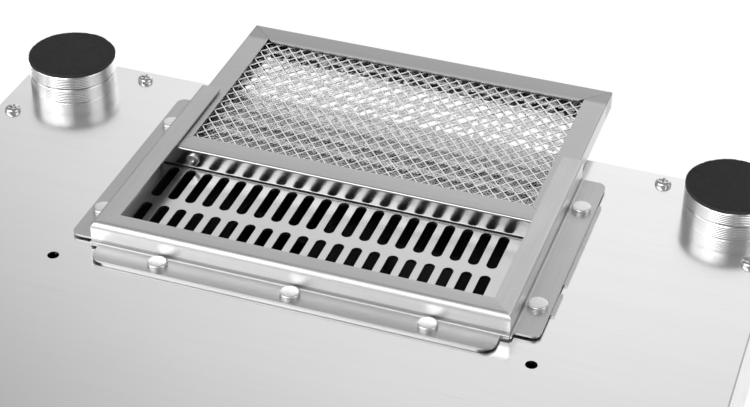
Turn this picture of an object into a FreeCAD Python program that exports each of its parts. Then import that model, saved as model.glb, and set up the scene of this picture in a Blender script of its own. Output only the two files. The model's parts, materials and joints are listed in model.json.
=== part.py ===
# Bench-top batch reflow oven, standing on four turned feet. Millimetres.
# +Z is up and the front, with the drawer and the controls, faces -Y. The origin is on the bench,
# under the centre of the box that holds the whole oven with its air filter drawn half out.
# A wide, low base holds the electronics and takes cooling air through the filter in its underside.
# A narrower insulated oven stands on the base, with quartz lamps, a blower and a board drawer.
import FreeCAD, Part
import math
import os

V = FreeCAD.Vector

# ---- driving dimensions ----
FOOT_H = 16.8            # bench to the underside of the bottom panel
FOOT_R = 22.5
FOOT_RING_H = 7.9        # the fixed half of a foot, next to the panel
FOOT_PAD_T = 1.6
FOOT_INSET_X = 26.0
FOOT_INSET_Y = 21.9
FOOT_TRAVEL = 6.0
BASE_W, BASE_D, BASE_H = 400.0, 420.0, 69.0
SHEET = 1.2              # folded stainless sheet
PANEL_T = 1.5            # bottom panel
BODY_W, BODY_H = 360.0, 184.0
BODY_FRONT, BODY_BACK = 14.0, 408.0   # depth of the upper body's faces, from the base's front
FILTER_PROUD = 49.0      # how far the drawn filter stands out past the base's front
COLLAR_L = 40.0          # exhaust collar, past the rear panel

# ---- places worked out from them ----
REAR_PROUD = BODY_BACK + COLLAR_L - BASE_D
FRONT_Y = -(BASE_D + REAR_PROUD - FILTER_PROUD) / 2
PANEL_Z = FOOT_H                      # outer face of the bottom panel
FLOOR_Z = PANEL_Z + PANEL_T           # its inner face
DECK_Z = PANEL_Z + BASE_H             # top of the base
TOP_Z = DECK_Z + BODY_H
HALF_W, HALF_BODY = BASE_W / 2, BODY_W / 2
FOOT_X = HALF_W - FOOT_INSET_X


def y(depth):
    """Y of a place given by its depth behind the base's front face."""
    return FRONT_Y + depth


def under(height):
    """Z of a place given by its height proud of the bottom panel's outer face."""
    return PANEL_Z - height


FOOT_PLACES = {
    "front_left": (-FOOT_X, y(FOOT_INSET_Y)),
    "front_right": (FOOT_X, y(FOOT_INSET_Y)),
    "rear_left": (-FOOT_X, y(BASE_D - FOOT_INSET_Y)),
    "rear_right": (FOOT_X, y(BASE_D - FOOT_INSET_Y)),
}

# ---- the filter's rails and the filter, measured down from the bottom panel ----
PACKING_T = 1.0
RAIL_T = 1.0
RAIL_H = 13.0            # outer face of the lip
RAIL_IN = 100.0          # half the clear width between the walls
RAIL_LIP = 10.5
RAIL_FLANGE = 12.5
RAIL_FRONT, RAIL_STOP = 21.0, 149.5   # open end and inner face of the stop, as depths
SIDE_FLANGE_BACK = 147.0
STOP_FLANGE_HALF = 97.0
RIVET_XS = (-65.0, 0.0, 65.0)
RIVET_DEPTHS = (46.0, 125.5)
RIVET_HEAD_R, RIVET_HEAD_H, RIVET_R = 4.7, 2.2, 2.4
FILTER_HALF_W, FILTER_L, FILTER_T = 99.0, 125.0, 10.8
FILTER_LOW = 0.4         # its upper face, below the panel
FILTER_SHEET = 0.8
FILTER_BAR, FILTER_FRONT_BAR = 12.0, 14.5
FILTER_D0 = -FILTER_PROUD
FILTER_D1 = FILTER_D0 + FILTER_L

# ---- air slots ----
SLOT_PITCH, SLOT_W, SLOT_COLUMNS = 8.9, 5.2, 20
SLOT_X = -90.6           # first column
SLOT_ROWS = ((22.7, 45.0), (50.6, 71.8), (77.4, 103.5), (109.3, 139.3))
FAN_D = 81.0             # depth of the cooling fan's axis, the middle of the slots

# ---- oven chamber, as depths and heights above the bench ----
CHAMBER_HALF_W, CHAMBER_Z0, CHAMBER_Z1 = 141.0, 108.0, 236.0
CHAMBER_D0, CHAMBER_D1, LINER_T = 16.0, 300.0, 1.0
BAFFLE_D = 250.0
WHEEL_D0, WHEEL_D1 = 262.0, 286.0
BLOWER_Z = (CHAMBER_Z0 + CHAMBER_Z1) / 2
LAMP_R, LAMP_HALF = 5.0, 144.0
TOP_LAMP_Z, BOTTOM_LAMP_Z = 222.0, 123.0
TOP_LAMPS, BOTTOM_LAMPS = (70.0, 120.0, 170.0, 220.0), (95.0, 195.0)
DUCT_X, DUCT_Z, DUCT_R = 105.0, 200.0, 26.0
COLLAR_R = 37.5

# ---- drawer ----
DRAWER_HALF_W, DRAWER_Z0, DRAWER_Z1 = 158.0, 94.0, 254.0
DRAWER_FACE, DRAWER_SHEET = 6.0, 2.0  # depth of its outer face
PLUG_HALF_W, PLUG_Z0, PLUG_Z1, PLUG_D1 = 136.0, 113.0, 231.0, 40.0
WINDOW_HALF_W, WINDOW_H, WINDOW_Z = 100.0, 62.0, 172.0
HANDLE_Z, HANDLE_R, HANDLE_HALF, HANDLE_REACH = 229.0, 6.0, 105.0, 34.0
RUNNER_IN = 124.0
BAR_HALF, BAR_T, BAR_Z0, BAR_Z1, BAR_D1 = 132.0, 4.0, 136.4, 148.0, 246.0

# ---- controls on the base's front ----
CONTROL_Z = PANEL_Z + 35.0
CONTROL_HALF_W, CONTROL_H, CONTROL_T = 155.0, 50.0, 2.0
SCREEN_X, SCREEN_W, SCREEN_H = -52.0, 92.0, 34.0
BUTTON_XS = {"start_button": 24.0, "select_button": 50.0, "stop_button": 76.0}
BUTTON_R, BUTTON_PROUD, BUTTON_TRAVEL = 7.0, 3.0, 1.2
KNOB_X, KNOB_R, KNOB_L, KNOB_SHAFT_R = 120.0, 14.0, 16.0, 3.0
SWITCH_X, SWITCH_W, SWITCH_H = -128.0, 15.0, 21.0


# ---- making shapes ----
def box(x0, x1, y0, y1, z0, z1):
    return Part.makeBox(x1 - x0, y1 - y0, z1 - z0, V(x0, y0, z0))


def rod(radius, start, end):
    """A cylinder from one point to another."""
    start, end = V(*start), V(*end)
    return Part.makeCylinder(radius, (end - start).Length, start, end - start)


def tube(outer, inner, start, end):
    return rod(outer, start, end).cut(rod(inner, start, end))


def joined(shapes):
    """Shapes that touch, as one solid."""
    first, *rest = shapes
    return first.fuse(rest).removeSplitter() if rest else first


def group(shapes):
    """Separate solids kept in one node."""
    return Part.makeCompound(shapes)


def prism(points, direction):
    """A closed outline pushed along a vector."""
    outline = [V(*p) for p in points]
    return Part.Face(Part.makePolygon(outline + outline[:1])).extrude(V(*direction))


def edges_along(shape, axis, where):
    """Edges that run along an axis and whose middle passes a test."""
    found = []
    for edge in shape.Edges:
        ends = edge.Vertexes
        if len(ends) != 2:
            continue
        run = ends[1].Point - ends[0].Point
        middle = (ends[1].Point + ends[0].Point) * 0.5
        if run.Length > 1e-6 and abs(abs(run.dot(V(*axis))) - run.Length) < 1e-6 and where(middle):
            found.append(edge)
    return found


def rounded(shape, radius, axis, where=lambda p: True):
    return shape.makeFillet(radius, edges_along(shape, axis, where))


def slot_cutter(x, y0, y1, z0, z1, width):
    """A round-ended slot along Y, as a solid to cut with."""
    r = width / 2
    body = box(x - r, x + r, y0 + r, y1 - r, z0, z1)
    ends = [rod(r, (x, end, z0), (x, end, z1)) for end in (y0 + r, y1 - r)]
    return body.fuse(ends)


def upright_slot(x, y0, y1, z0, z1, width):
    """A round-ended slot along Z through a wall that faces Y."""
    r = width / 2
    body = box(x - r, x + r, y0, y1, z0 + r, z1 - r)
    ends = [rod(r, (x, y0, end), (x, y1, end)) for end in (z0 + r, z1 - r)]
    return body.fuse(ends)


def mirrored(shape):
    """The same piece on the other side of the middle plane."""
    return shape.mirror(V(0, 0, 0), V(1, 0, 0))


def turned(profile, x, y_at):
    """A solid turned about an upright axis from (radius, z) points."""
    points = [V(r, 0, z) for r, z in profile]
    face = Part.Face(Part.makePolygon(points + points[:1]))
    solid = face.revolve(V(0, 0, 0), V(0, 0, 1), 360)
    solid.translate(V(x, y_at, 0))
    return solid


# ---- screws and rivets ----
SCREW_HEAD_R, SCREW_HEAD_H, SCREW_R = 4.1, 2.4, 2.0


def pan_screw(length):
    """A cross-recessed pan-head screw: head down from z = 0, shank up."""
    head = rod(SCREW_HEAD_R, (0, 0, 0), (0, 0, -SCREW_HEAD_H))
    low_rim = [e for e in head.Edges if abs(e.BoundBox.ZMax + SCREW_HEAD_H) < 1e-6 and len(e.Vertexes) == 1]
    head = head.makeFillet(2.0, low_rim)
    arm, deep = 2.3, 1.5
    for size in ((arm, 0.55), (0.55, arm)):
        head = head.cut(box(-size[0], size[0], -size[1], size[1], -SCREW_HEAD_H - 1, -SCREW_HEAD_H + deep))
    return head.fuse(rod(SCREW_R, (0, 0, 0), (0, 0, length))).removeSplitter()


def placed(shape, at, axis=(0, 0, 1)):
    """A copy moved to a point, with its own +Z turned to an axis."""
    copy = shape.copy()
    copy.Placement = FreeCAD.Placement(V(*at), FreeCAD.Rotation(V(0, 0, 1), V(*axis)))
    return copy


PANEL_SCREWS = [(side * x, y(d)) for side in (-1, 1) for x, d in (
    (139.0, 8.5), (190.5, 59.0), (190.5, 210.0), (190.5, BASE_D - 59.0), (139.0, BASE_D - 8.5))]
FIXING_X, FIXING_D, FIXING_R = 114.5, 163.3, 2.75
RAIL_RIVETS = (
    [(side * 107.0, y(d)) for side in (-1, 1) for d in RIVET_DEPTHS]
    + [(x, y(156.0)) for x in RIVET_XS])
STUD_R = 4.0


# ---- base ----
def bottom_panel():
    gap = 0.6
    plate = box(-HALF_W + gap, HALF_W - gap, y(gap), y(BASE_D - gap), PANEL_Z, FLOOR_Z)
    plate = rounded(plate, 2.0, (0, 0, 1))
    cuts = []
    for column in range(SLOT_COLUMNS):
        x = SLOT_X + column * SLOT_PITCH
        for d0, d1 in SLOT_ROWS:
            cuts.append(slot_cutter(x, y(d0), y(d1), PANEL_Z - 1, FLOOR_Z + 1, SLOT_W))
    holes = [(x, at, SCREW_R + 0.2) for x, at in PANEL_SCREWS]
    holes += [(x, at, RIVET_R + 0.05) for x, at in RAIL_RIVETS]
    holes += [(x, at, STUD_R + 0.5) for x, at in FOOT_PLACES.values()]
    holes += [(side * FIXING_X, y(FIXING_D), FIXING_R) for side in (-1, 1)]
    cuts += [rod(r, (x, at, PANEL_Z - 1), (x, at, FLOOR_Z + 1)) for x, at, r in holes]
    return plate.cut(cuts)


def base_shell():
    """Walls and deck of folded sheet, with a return flange below and the cover's brackets on top."""
    outer = box(-HALF_W, HALF_W, y(0), y(BASE_D), FLOOR_Z, DECK_Z)
    outer = rounded(outer, 2.5, (0, 0, 1))
    within, mouth = HALF_W - SHEET, HALF_W - 16
    inside = box(-within, within, y(SHEET), y(BASE_D - SHEET), FLOOR_Z + SHEET, DECK_Z - SHEET)
    below = box(-mouth, mouth, y(16), y(BASE_D - 16), FLOOR_Z - 1, FLOOR_Z + 2)
    shell = outer.cut([inside, below])
    half, low = CONTROL_HALF_W - 8, CONTROL_Z - CONTROL_H / 2 + 6
    cuts = [box(-half, half, y(-1), y(SHEET + 1), low, low + CONTROL_H - 12)]
    cuts += [rod(SCREW_R + 0.2, (x, at, FLOOR_Z - 1), (x, at, FLOOR_Z + 2)) for x, at in PANEL_SCREWS]
    for x, at in FOOT_PLACES.values():
        cuts.append(rod(12.0, (x, at, FLOOR_Z - 1), (x, at, FLOOR_Z + 2)))
    for n in range(12):
        at = y(250 + n * 11)
        for side in (-1, 1):
            wall = side * HALF_W
            cuts.append(box(wall - 3, wall + 3, at, at + 4, PANEL_Z + 22, PANEL_Z + 52))
    cuts.append(box(*INLET_HOLE))
    cuts.append(rod(20.0, (-60, y(350), DECK_Z - 3), (-60, y(350), DECK_Z + 1)))
    cuts.append(rod(20.0, (60, y(350), DECK_Z - 3), (60, y(350), DECK_Z + 1)))
    bracket = box(HALF_BODY - SHEET - 1.5, HALF_BODY - SHEET, y(26), y(400), DECK_Z, DECK_Z + 16)
    bracket = bracket.cut([rod(2.1, (170, at, DECK_Z + 8), (190, at, DECK_Z + 8)) for at in COVER_SCREW_YS])
    return group([shell.cut(cuts), bracket, mirrored(bracket)])


def panel_screws():
    screw = pan_screw(8.0)
    return group([placed(screw, (x, at, PANEL_Z)) for x, at in PANEL_SCREWS])


# ---- feet ----
GROOVE_PITCH, GROOVE_DEEP = 1.0, 0.22


def grooved_side(z_high, z_low):
    """(radius, z) points down the outside of a foot, with fine turned grooves."""
    points = [(FOOT_R - 0.3, z_high), (FOOT_R, z_high - 0.3)]
    z = z_high - 0.8
    while z - GROOVE_PITCH * 0.6 > z_low + 0.5:
        root = z - GROOVE_PITCH * 0.3
        points += [(FOOT_R, z), (FOOT_R - GROOVE_DEEP, root), (FOOT_R, z - GROOVE_PITCH * 0.6)]
        z -= GROOVE_PITCH
    return points + [(FOOT_R, z_low + 0.3), (FOOT_R - 0.3, z_low)]


def foot_rings():
    """The fixed halves of the feet, which space them off the panel."""
    bore, low = STUD_R + 0.5, PANEL_Z - FOOT_RING_H
    profile = [(bore, PANEL_Z)] + grooved_side(PANEL_Z, low) + [(bore, low)]
    return group([turned(profile, x, at) for x, at in FOOT_PLACES.values()])


def foot_cap(place):
    """The half that screws out to level the oven, with its stud."""
    high = PANEL_Z - FOOT_RING_H - 0.3
    low = FOOT_PAD_T
    top = FLOOR_Z + 9.0
    profile = [(0, top), (STUD_R - 0.6, top), (STUD_R, top - 0.6), (STUD_R, high)]
    profile += grooved_side(high, low) + [(0, low)]
    return turned(profile, *FOOT_PLACES[place])


def foot_pad(place):
    profile = [(0, FOOT_PAD_T), (FOOT_R + 0.2, FOOT_PAD_T), (FOOT_R + 0.2, 0.4), (FOOT_R - 0.2, 0), (0, 0)]
    return turned(profile, *FOOT_PLACES[place])


def foot_nuts():
    """Threaded inserts pressed into the bottom panel, one for each foot."""
    nuts = []
    for x, at in FOOT_PLACES.values():
        barrel = rod(7.5, (x, at, FLOOR_Z), (x, at, FLOOR_Z + 8))
        rim = rod(10.0, (x, at, FLOOR_Z), (x, at, FLOOR_Z + 1.5))
        bore = rod(STUD_R + 0.08, (x, at, FLOOR_Z - 1), (x, at, FLOOR_Z + 9))
        nuts.append(joined([barrel, rim]).cut(bore))
    return group(nuts)


# ---- filter rails ----
WALL_OUT = RAIL_IN + RAIL_T
STOP_OUT = RAIL_STOP + RAIL_T
BEND, STOP_BEND = 1.6, 3.2      # outer radii of the rails' lip bends


def z_profile(far, near_wall, near_lip, flange_end):
    """Outline of a Z-shaped rail across its length: flange, wall and lip, as (across, z)."""
    low, lip, seat = under(RAIL_H), under(RAIL_H - RAIL_T), under(PACKING_T + RAIL_T)
    base = under(PACKING_T)
    return [(flange_end, base), (flange_end, seat), (far, seat), (far, low), (near_lip, low),
            (near_lip, lip), (near_wall, lip), (near_wall, base)]


def side_rail():
    """The right-hand rail: its flange is riveted to the panel, its lip holds the filter up."""
    outline = z_profile(WALL_OUT, RAIL_IN, WALL_OUT - RAIL_LIP, WALL_OUT + RAIL_FLANGE)
    rail = prism([(a, y(RAIL_FRONT), z) for a, z in outline], (0, STOP_OUT - RAIL_FRONT, 0))
    low = under(RAIL_H)
    rail = rounded(rail, BEND, (0, 1, 0), lambda p: abs(p.x - WALL_OUT) < 0.1 and abs(p.z - low) < 0.1)
    rail = rounded(rail, BEND * 0.8, (0, 1, 0), lambda p: abs(p.x - WALL_OUT) < 0.1 and p.z > low + 5)
    spare = box(WALL_OUT + 0.9, WALL_OUT + 30, y(SIDE_FLANGE_BACK), y(STOP_OUT + 1), low, PANEL_Z)
    rail = rail.cut(spare)
    rail = rounded(rail, 4.0, (0, 0, 1), lambda p: p.x > WALL_OUT + RAIL_FLANGE - 0.1)
    return rail.cut(mitre_block(0.12)).cut(rivet_holes())


def mitre_block(gap):
    """Everything behind the 45 degree line across the right-hand corner of the rails."""
    x, at, reach = WALL_OUT, y(STOP_OUT), 60.0
    points = [(x - reach, at - reach - gap), (x + reach, at + reach - gap), (x - reach, at + reach)]
    return prism([(px, py, PANEL_Z) for px, py in points], (0, 0, -40))


def stop_rail():
    """The rail across the back, which the filter comes up against."""
    outline = z_profile(y(STOP_OUT), y(RAIL_STOP), y(STOP_OUT - RAIL_LIP), y(STOP_OUT + RAIL_FLANGE - 0.5))
    rail = prism([(-WALL_OUT, a, z) for a, z in outline], (2 * WALL_OUT, 0, 0))
    low = under(RAIL_H)
    back = y(STOP_OUT)
    rail = rounded(rail, STOP_BEND, (1, 0, 0), lambda p: abs(p.y - back) < 0.1 and abs(p.z - low) < 0.1)
    inner, lip = y(RAIL_STOP), under(RAIL_H - RAIL_T)
    rail = rounded(rail, STOP_BEND - RAIL_T, (1, 0, 0), lambda p: abs(p.y - inner) < 0.1 and abs(p.z - lip) < 0.1)
    rail = rounded(rail, BEND * 0.8, (1, 0, 0), lambda p: abs(p.y - back) < 0.1 and p.z > low + 5)
    for side in (-1, 1):
        x0, x1 = sorted((side * STOP_FLANGE_HALF, side * 130))
        rail = rail.cut(box(x0, x1, y(STOP_OUT + 0.9), y(STOP_OUT + 30), low, PANEL_Z))
    rail = rounded(rail, 6.0, (0, 0, 1), lambda p: p.y > y(STOP_OUT + RAIL_FLANGE - 0.7))
    reach, front = 60.0, y(STOP_OUT) - 0.12
    for side in (-1, 1):
        corner = side * WALL_OUT
        wedge = [(corner, front), (corner - side * reach, front - reach), (corner, front - reach)]
        rail = rail.cut(prism([(px, py, PANEL_Z) for px, py in wedge], (0, 0, -40)))
    return rail.cut(rivet_holes())


def rivet_holes():
    return [rod(RIVET_R + 0.05, (x, at, under(20)), (x, at, PANEL_Z + 1)) for x, at in RAIL_RIVETS]


def rail_packing():
    """Thin strips that hold the rails just clear of the panel. The right one shows past its flange."""
    low, high = under(PACKING_T), PANEL_Z
    right = box(WALL_OUT + 1, WALL_OUT + RAIL_FLANGE + 1.8, y(39), y(128.5), low, high)
    right = right.cut(box(WALL_OUT + RAIL_FLANGE - 0.6, 130, y(105), y(112), low - 1, high + 1))
    left = box(-WALL_OUT - RAIL_FLANGE + 0.3, -WALL_OUT - 1, y(26), y(143), low, high)
    left = rounded(left, 4.0, (0, 0, 1), lambda p: p.x < -WALL_OUT - 10)
    half = STOP_FLANGE_HALF - 4
    back = box(-half, half, y(STOP_OUT + 1), y(STOP_OUT + RAIL_FLANGE - 0.8), low, high)
    back = rounded(back, 4.0, (0, 0, 1), lambda p: p.y > y(STOP_OUT + 10))
    return group([strip.cut(rivet_holes()) for strip in (left, right, back)])


def rail_rivets():
    seat = under(PACKING_T + RAIL_T)
    head = rod(RIVET_HEAD_R, (0, 0, 0), (0, 0, -RIVET_HEAD_H))
    rim = [e for e in head.Edges if len(e.Vertexes) == 1 and abs(e.BoundBox.ZMax + RIVET_HEAD_H) < 1e-6]
    head = head.makeFillet(0.9, rim)
    inside = FLOOR_Z - seat
    shank = rod(RIVET_R, (0, 0, 0), (0, 0, inside + 1.8))
    bulb = rod(RIVET_R + 1.0, (0, 0, inside), (0, 0, inside + 1.8))
    rivet = joined([head, shank, bulb])
    return group([placed(rivet, (x, at, seat)) for x, at in RAIL_RIVETS])


# ---- filter ----
FILTER_TOP = under(FILTER_LOW)
FILTER_BOTTOM = FILTER_TOP - FILTER_T


def filter_channel(length, bar):
    """A C-shaped channel along X, its back on y = 0 and its mouth towards +Y, mitred at both ends."""
    half, t = length / 2, FILTER_SHEET
    outline = [(0, FILTER_BOTTOM), (bar, FILTER_BOTTOM), (bar, FILTER_BOTTOM + t), (t, FILTER_BOTTOM + t),
               (t, FILTER_TOP - t), (bar, FILTER_TOP - t), (bar, FILTER_TOP), (0, FILTER_TOP)]
    channel = prism([(-half, a, z) for a, z in outline], (length, 0, 0))
    channel = rounded(channel, 1.2, (1, 0, 0), lambda p: abs(p.y) < 0.01)
    for side in (-1, 1):
        end = side * (half - 0.08)
        wedge = [(end, 0), (end + side * 20, 0), (end + side * 20, 30), (end - side * 30, 30)]
        channel = channel.cut(prism([(px, py, FILTER_BOTTOM - 1) for px, py in wedge], (0, 0, FILTER_T + 2)))
    return channel


def filter_frame():
    front = filter_channel(2 * FILTER_HALF_W, FILTER_FRONT_BAR)
    front.translate(V(0, y(FILTER_D0), 0))
    back = filter_channel(2 * FILTER_HALF_W, FILTER_BAR)
    back.rotate(V(0, 0, 0), V(0, 0, 1), 180)
    back.translate(V(0, y(FILTER_D1), 0))
    sides = []
    for turn, x in ((90, FILTER_HALF_W), (-90, -FILTER_HALF_W)):
        side = filter_channel(FILTER_L, FILTER_BAR)
        side.rotate(V(0, 0, 0), V(0, 0, 1), turn)
        side.translate(V(x, y((FILTER_D0 + FILTER_D1) / 2), 0))
        sides.append(side)
    start, end = [(FILTER_RIVET_X, y(FILTER_D1 + past), FILTER_MID) for past in (-3, 3)]
    hole = rod(1.6, start, end)
    return group([front, back.cut(hole)] + sides)


FILTER_MID = (FILTER_TOP + FILTER_BOTTOM) / 2
FILTER_RIVET_X = -82.0
MESH_T = 1.0


def filter_plane(z0, z1, inset):
    half = FILTER_HALF_W - FILTER_SHEET - inset
    return box(-half, half, y(FILTER_D0 + FILTER_SHEET + inset), y(FILTER_D1 - FILTER_SHEET - inset), z0, z1)


def filter_meshes():
    """The expanded-metal faces, as plain sheets of their outer size."""
    low, high = FILTER_BOTTOM + FILTER_SHEET, FILTER_TOP - FILTER_SHEET
    return group([filter_plane(low + 0.05, low + MESH_T, 0.4), filter_plane(high - MESH_T, high - 0.05, 0.4)])


def filter_media():
    low, high = FILTER_BOTTOM + FILTER_SHEET + MESH_T + 0.1, FILTER_TOP - FILTER_SHEET - MESH_T - 0.1
    return filter_plane(low, high, 3.6)


def filter_rivet():
    back = y(FILTER_D1)
    head = rod(3.2, (0, 0, 0), (0, 0, -1.3))
    rim = [e for e in head.Edges if len(e.Vertexes) == 1 and abs(e.BoundBox.ZMax + 1.3) < 1e-6]
    head = head.makeFillet(0.7, rim)
    head = head.cut(rod(1.0, (0, 0, -0.5), (0, 0, -2)))
    rivet = head.fuse(rod(1.55, (0, 0, 0), (0, 0, 2.4))).removeSplitter()
    return placed(rivet, (FILTER_RIVET_X, back, FILTER_MID), (0, -1, 0))


# ---- cooling fan in the base ----
PLENUM_TOP = FLOOR_Z + 21.0
FAN_HALF, FAN_H, FAN_BORE = 60.0, 25.0, 57.5


def air_plenum():
    """Black tray over the slots that leads the air to the fan."""
    wall, half, d0, d1 = 2.0, 97.0, 16.0, 148.0
    tray = box(-half, half, y(d0), y(d1), FLOOR_Z, PLENUM_TOP)
    within = half - wall
    tray = tray.cut(box(-within, within, y(d0 + wall), y(d1 - wall), FLOOR_Z - 1, PLENUM_TOP - wall))
    return tray.cut(rod(FAN_BORE, (0, y(FAN_D), PLENUM_TOP - 3), (0, y(FAN_D), PLENUM_TOP + 1)))


def axial_frame(half, height, bore, hub):
    """A square fan frame about the origin, with three struts and a motor seat at its top."""
    frame = box(-half, half, -half, half, 0, height)
    frame = rounded(frame, 4.0, (0, 0, 1))
    frame = frame.cut(rod(bore, (0, 0, -1), (0, 0, height + 1)))
    corner = half - 7.5
    frame = frame.cut([rod(2.2, (sx * corner, sy * corner, -1), (sx * corner, sy * corner, height + 1))
                       for sx in (-1, 1) for sy in (-1, 1)])
    parts = [frame, rod(hub, (0, 0, height - 4), (0, 0, height))]
    for turn in (30, 150, 270):
        strut = box(hub - 2, bore + 1, -2.5, 2.5, height - 4, height)
        strut.rotate(V(0, 0, 0), V(0, 0, 1), turn)
        parts.append(strut)
    return joined(parts).cut(rod(1.56, (0, 0, height - 5), (0, 0, height - 0.8)))


def axial_rotor(hub, tip, low, high, blades):
    """A fan rotor about the Z axis: a hub with its spindle, and pitched blades."""
    rotor = rod(hub, (0, 0, low), (0, 0, high))
    ring = rod(tip, (0, 0, low), (0, 0, high)).cut(rod(hub - 1, (0, 0, low), (0, 0, high)))
    for n in range(blades):
        blade = box(hub - 2, tip + 2, -(high - low) * 0.9, (high - low) * 0.9, -0.9, 0.9)
        blade.rotate(V(0, 0, 0), V(1, 0, 0), 40)
        blade.translate(V(0, 0, (low + high) / 2))
        blade.rotate(V(0, 0, 0), V(0, 0, 1), n * 360 / blades)
        rotor = rotor.fuse(blade.common(ring))
    return rotor.fuse(rod(1.5, (0, 0, high - 1), (0, 0, high + 3.4))).removeSplitter()


def cooling_fan_frame():
    return placed(axial_frame(FAN_HALF, FAN_H, FAN_BORE, 21.0), (0, y(FAN_D), PLENUM_TOP))


def cooling_fan_rotor():
    return placed(axial_rotor(20.0, FAN_BORE - 2.0, 2.0, FAN_H - 4.5, 7), (0, y(FAN_D), PLENUM_TOP))


# ---- electronics in the base ----
def controller_board():
    x0, x1, d0, d1, z = -178.0, -66.0, 190.0, 290.0, FLOOR_Z + 8
    board = box(x0, x1, y(d0), y(d1), z, z + 1.6)
    legs = [rod(3.0, (x, y(d), FLOOR_Z), (x, y(d), z)) for x in (x0 + 5, x1 - 5) for d in (d0 + 5, d1 - 5)]
    chips = [box(-150, -126, y(215), y(239), z + 1.6, z + 4), box(-110, -90, y(205), y(215), z + 1.6, z + 12),
             box(-112, -80, y(250), y(276), z + 1.6, z + 20)]
    caps = [rod(6.0, (x, y(268), z + 1.6), (x, y(268), z + 22)) for x in (-162, -146, -130)]
    return joined([board] + legs + chips + caps)


def relay_heatsink():
    """Two solid-state relays on a finned heatsink."""
    x0, x1, d0, d1 = 66.0, 176.0, 195.0, 300.0
    parts = [box(x0, x1, y(d0), y(d1), FLOOR_Z, FLOOR_Z + 6)]
    for n in range(10):
        at = x0 + n * (x1 - x0 - 2) / 9
        parts.append(box(at, at + 2, y(d0), y(d0 + 40), FLOOR_Z + 6, FLOOR_Z + 36))
    parts += [box(x, x + 44, y(240), y(298), FLOOR_Z + 6, FLOOR_Z + 30) for x in (70.0, 128.0)]
    return joined(parts)


def power_supply():
    top = FLOOR_Z + 38
    case = box(-40, 60, y(320), y(400), FLOOR_Z, top)
    return case.cut([box(8 * n - 35, 8 * n - 31, y(325), y(395), top - 2, top + 1) for n in range(12)])


INLET_X, INLET_Z = -140.0, PANEL_Z + 34.0
INLET_HOLE = (INLET_X - 14, INLET_X + 14, y(BASE_D - 4), y(BASE_D + 1), INLET_Z - 10, INLET_Z + 10)


def mains_inlet():
    """Three-pin appliance inlet in the base's rear wall."""
    back = y(BASE_D)
    x, z = INLET_X, INLET_Z
    flange = rounded(box(x - 25, x + 25, back, back + 3, z - 14, z + 14), 5.0, (0, 1, 0))
    body = box(x - 13.7, x + 13.7, back - 26, back, z - 9.7, z + 9.7)
    inlet = joined([flange, body]).cut(box(x - 12, x + 12, back - 16, back + 4, z - 8, z + 8))
    pins = [box(x + dx - 1, x + dx + 1, back - 17, back - 5, z + dz - 2.5, z + dz + 2.5)
            for dx, dz in ((-7, -1.5), (0, 2), (7, -1.5))]
    holes = [rod(1.8, (x + s * 20, back - 1, z), (x + s * 20, back + 4, z)) for s in (-1, 1)]
    return joined([inlet] + pins).cut(holes)


# ---- upper body ----
BODY_Y0, BODY_Y1 = y(BODY_FRONT), y(BODY_BACK)
FASCIA_T = 2.0


def upper_cover():
    """Sides and top, folded from one sheet."""
    front = BODY_Y0 + FASCIA_T
    cover = box(-HALF_BODY, HALF_BODY, front, BODY_Y1, DECK_Z, TOP_Z)
    cover = rounded(cover, 3.0, (0, 1, 0), lambda p: p.z > TOP_Z - 1)
    within = HALF_BODY - SHEET
    cover = cover.cut(box(-within, within, front - 1, BODY_Y1 + 1, DECK_Z - 1, TOP_Z - SHEET))
    rear = BODY_Y1 - 2 * SHEET - 0.2
    for side in (-1, 1):
        x0, x1 = sorted((side * (HALF_BODY - 18), side * (HALF_BODY - SHEET / 2)))
        cover = cover.fuse(box(x0, x1, rear, rear + SHEET, DECK_Z, TOP_Z - SHEET / 2))
    cover = cover.removeSplitter()
    cuts = [rod(2.1, (x, rear - 1, z), (x, rear + 3, z)) for x, z in REAR_SCREWS]
    for n in range(9):
        depth = y(322 + n * 9)
        for side in (-1, 1):
            wall = side * HALF_BODY
            cuts.append(box(wall - 3, wall + 3, depth, depth + 4, DECK_Z + 40, DECK_Z + 100))
    for n in range(15):
        x = (n - 7) * 12.0
        cuts.append(slot_cutter(x, y(330), y(385), TOP_Z - 3, TOP_Z + 1, 5.0))
    cuts += [rod(2.1, (side * 170, at, DECK_Z + 8), (side * 190, at, DECK_Z + 8))
             for side in (-1, 1) for at in COVER_SCREW_YS]
    return cover.cut(cuts)


COVER_SCREW_YS = (y(40), y(211), y(392))
REAR_SCREWS = [(s * 168, z) for s in (-1, 1) for z in (DECK_Z + 10, DECK_Z + 92, TOP_Z - 10)]


def rear_panel():
    inner = HALF_BODY - SHEET - 0.2
    plate = box(-inner, inner, BODY_Y1 - SHEET, BODY_Y1, DECK_Z, TOP_Z - SHEET - 0.2)
    holes = [rod(COLLAR_R - 3.0, (DUCT_X, BODY_Y1 - 3, DUCT_Z), (DUCT_X, BODY_Y1 + 1, DUCT_Z))]
    holes += [rod(2.1, (x, BODY_Y1 - 3, z), (x, BODY_Y1 + 1, z)) for x, z in REAR_SCREWS]
    holes += [upright_slot(n * 10.0, BODY_Y1 - 3, BODY_Y1 + 1, BLOWER_Z - 30, BLOWER_Z + 30, 4.5)
              for n in range(-5, 4)]
    return plate.cut(holes)


def front_fascia():
    plate = box(-HALF_BODY, HALF_BODY, BODY_Y0, BODY_Y0 + FASCIA_T, DECK_Z, TOP_Z)
    plate = rounded(plate, 3.0, (0, 1, 0), lambda p: p.z > TOP_Z - 1)
    mouth = box(-CHAMBER_HALF_W + LINER_T, CHAMBER_HALF_W - LINER_T, BODY_Y0 - 1, BODY_Y0 + 3,
                CHAMBER_Z0 + LINER_T, CHAMBER_Z1 - LINER_T)
    return plate.cut(mouth)


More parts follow.
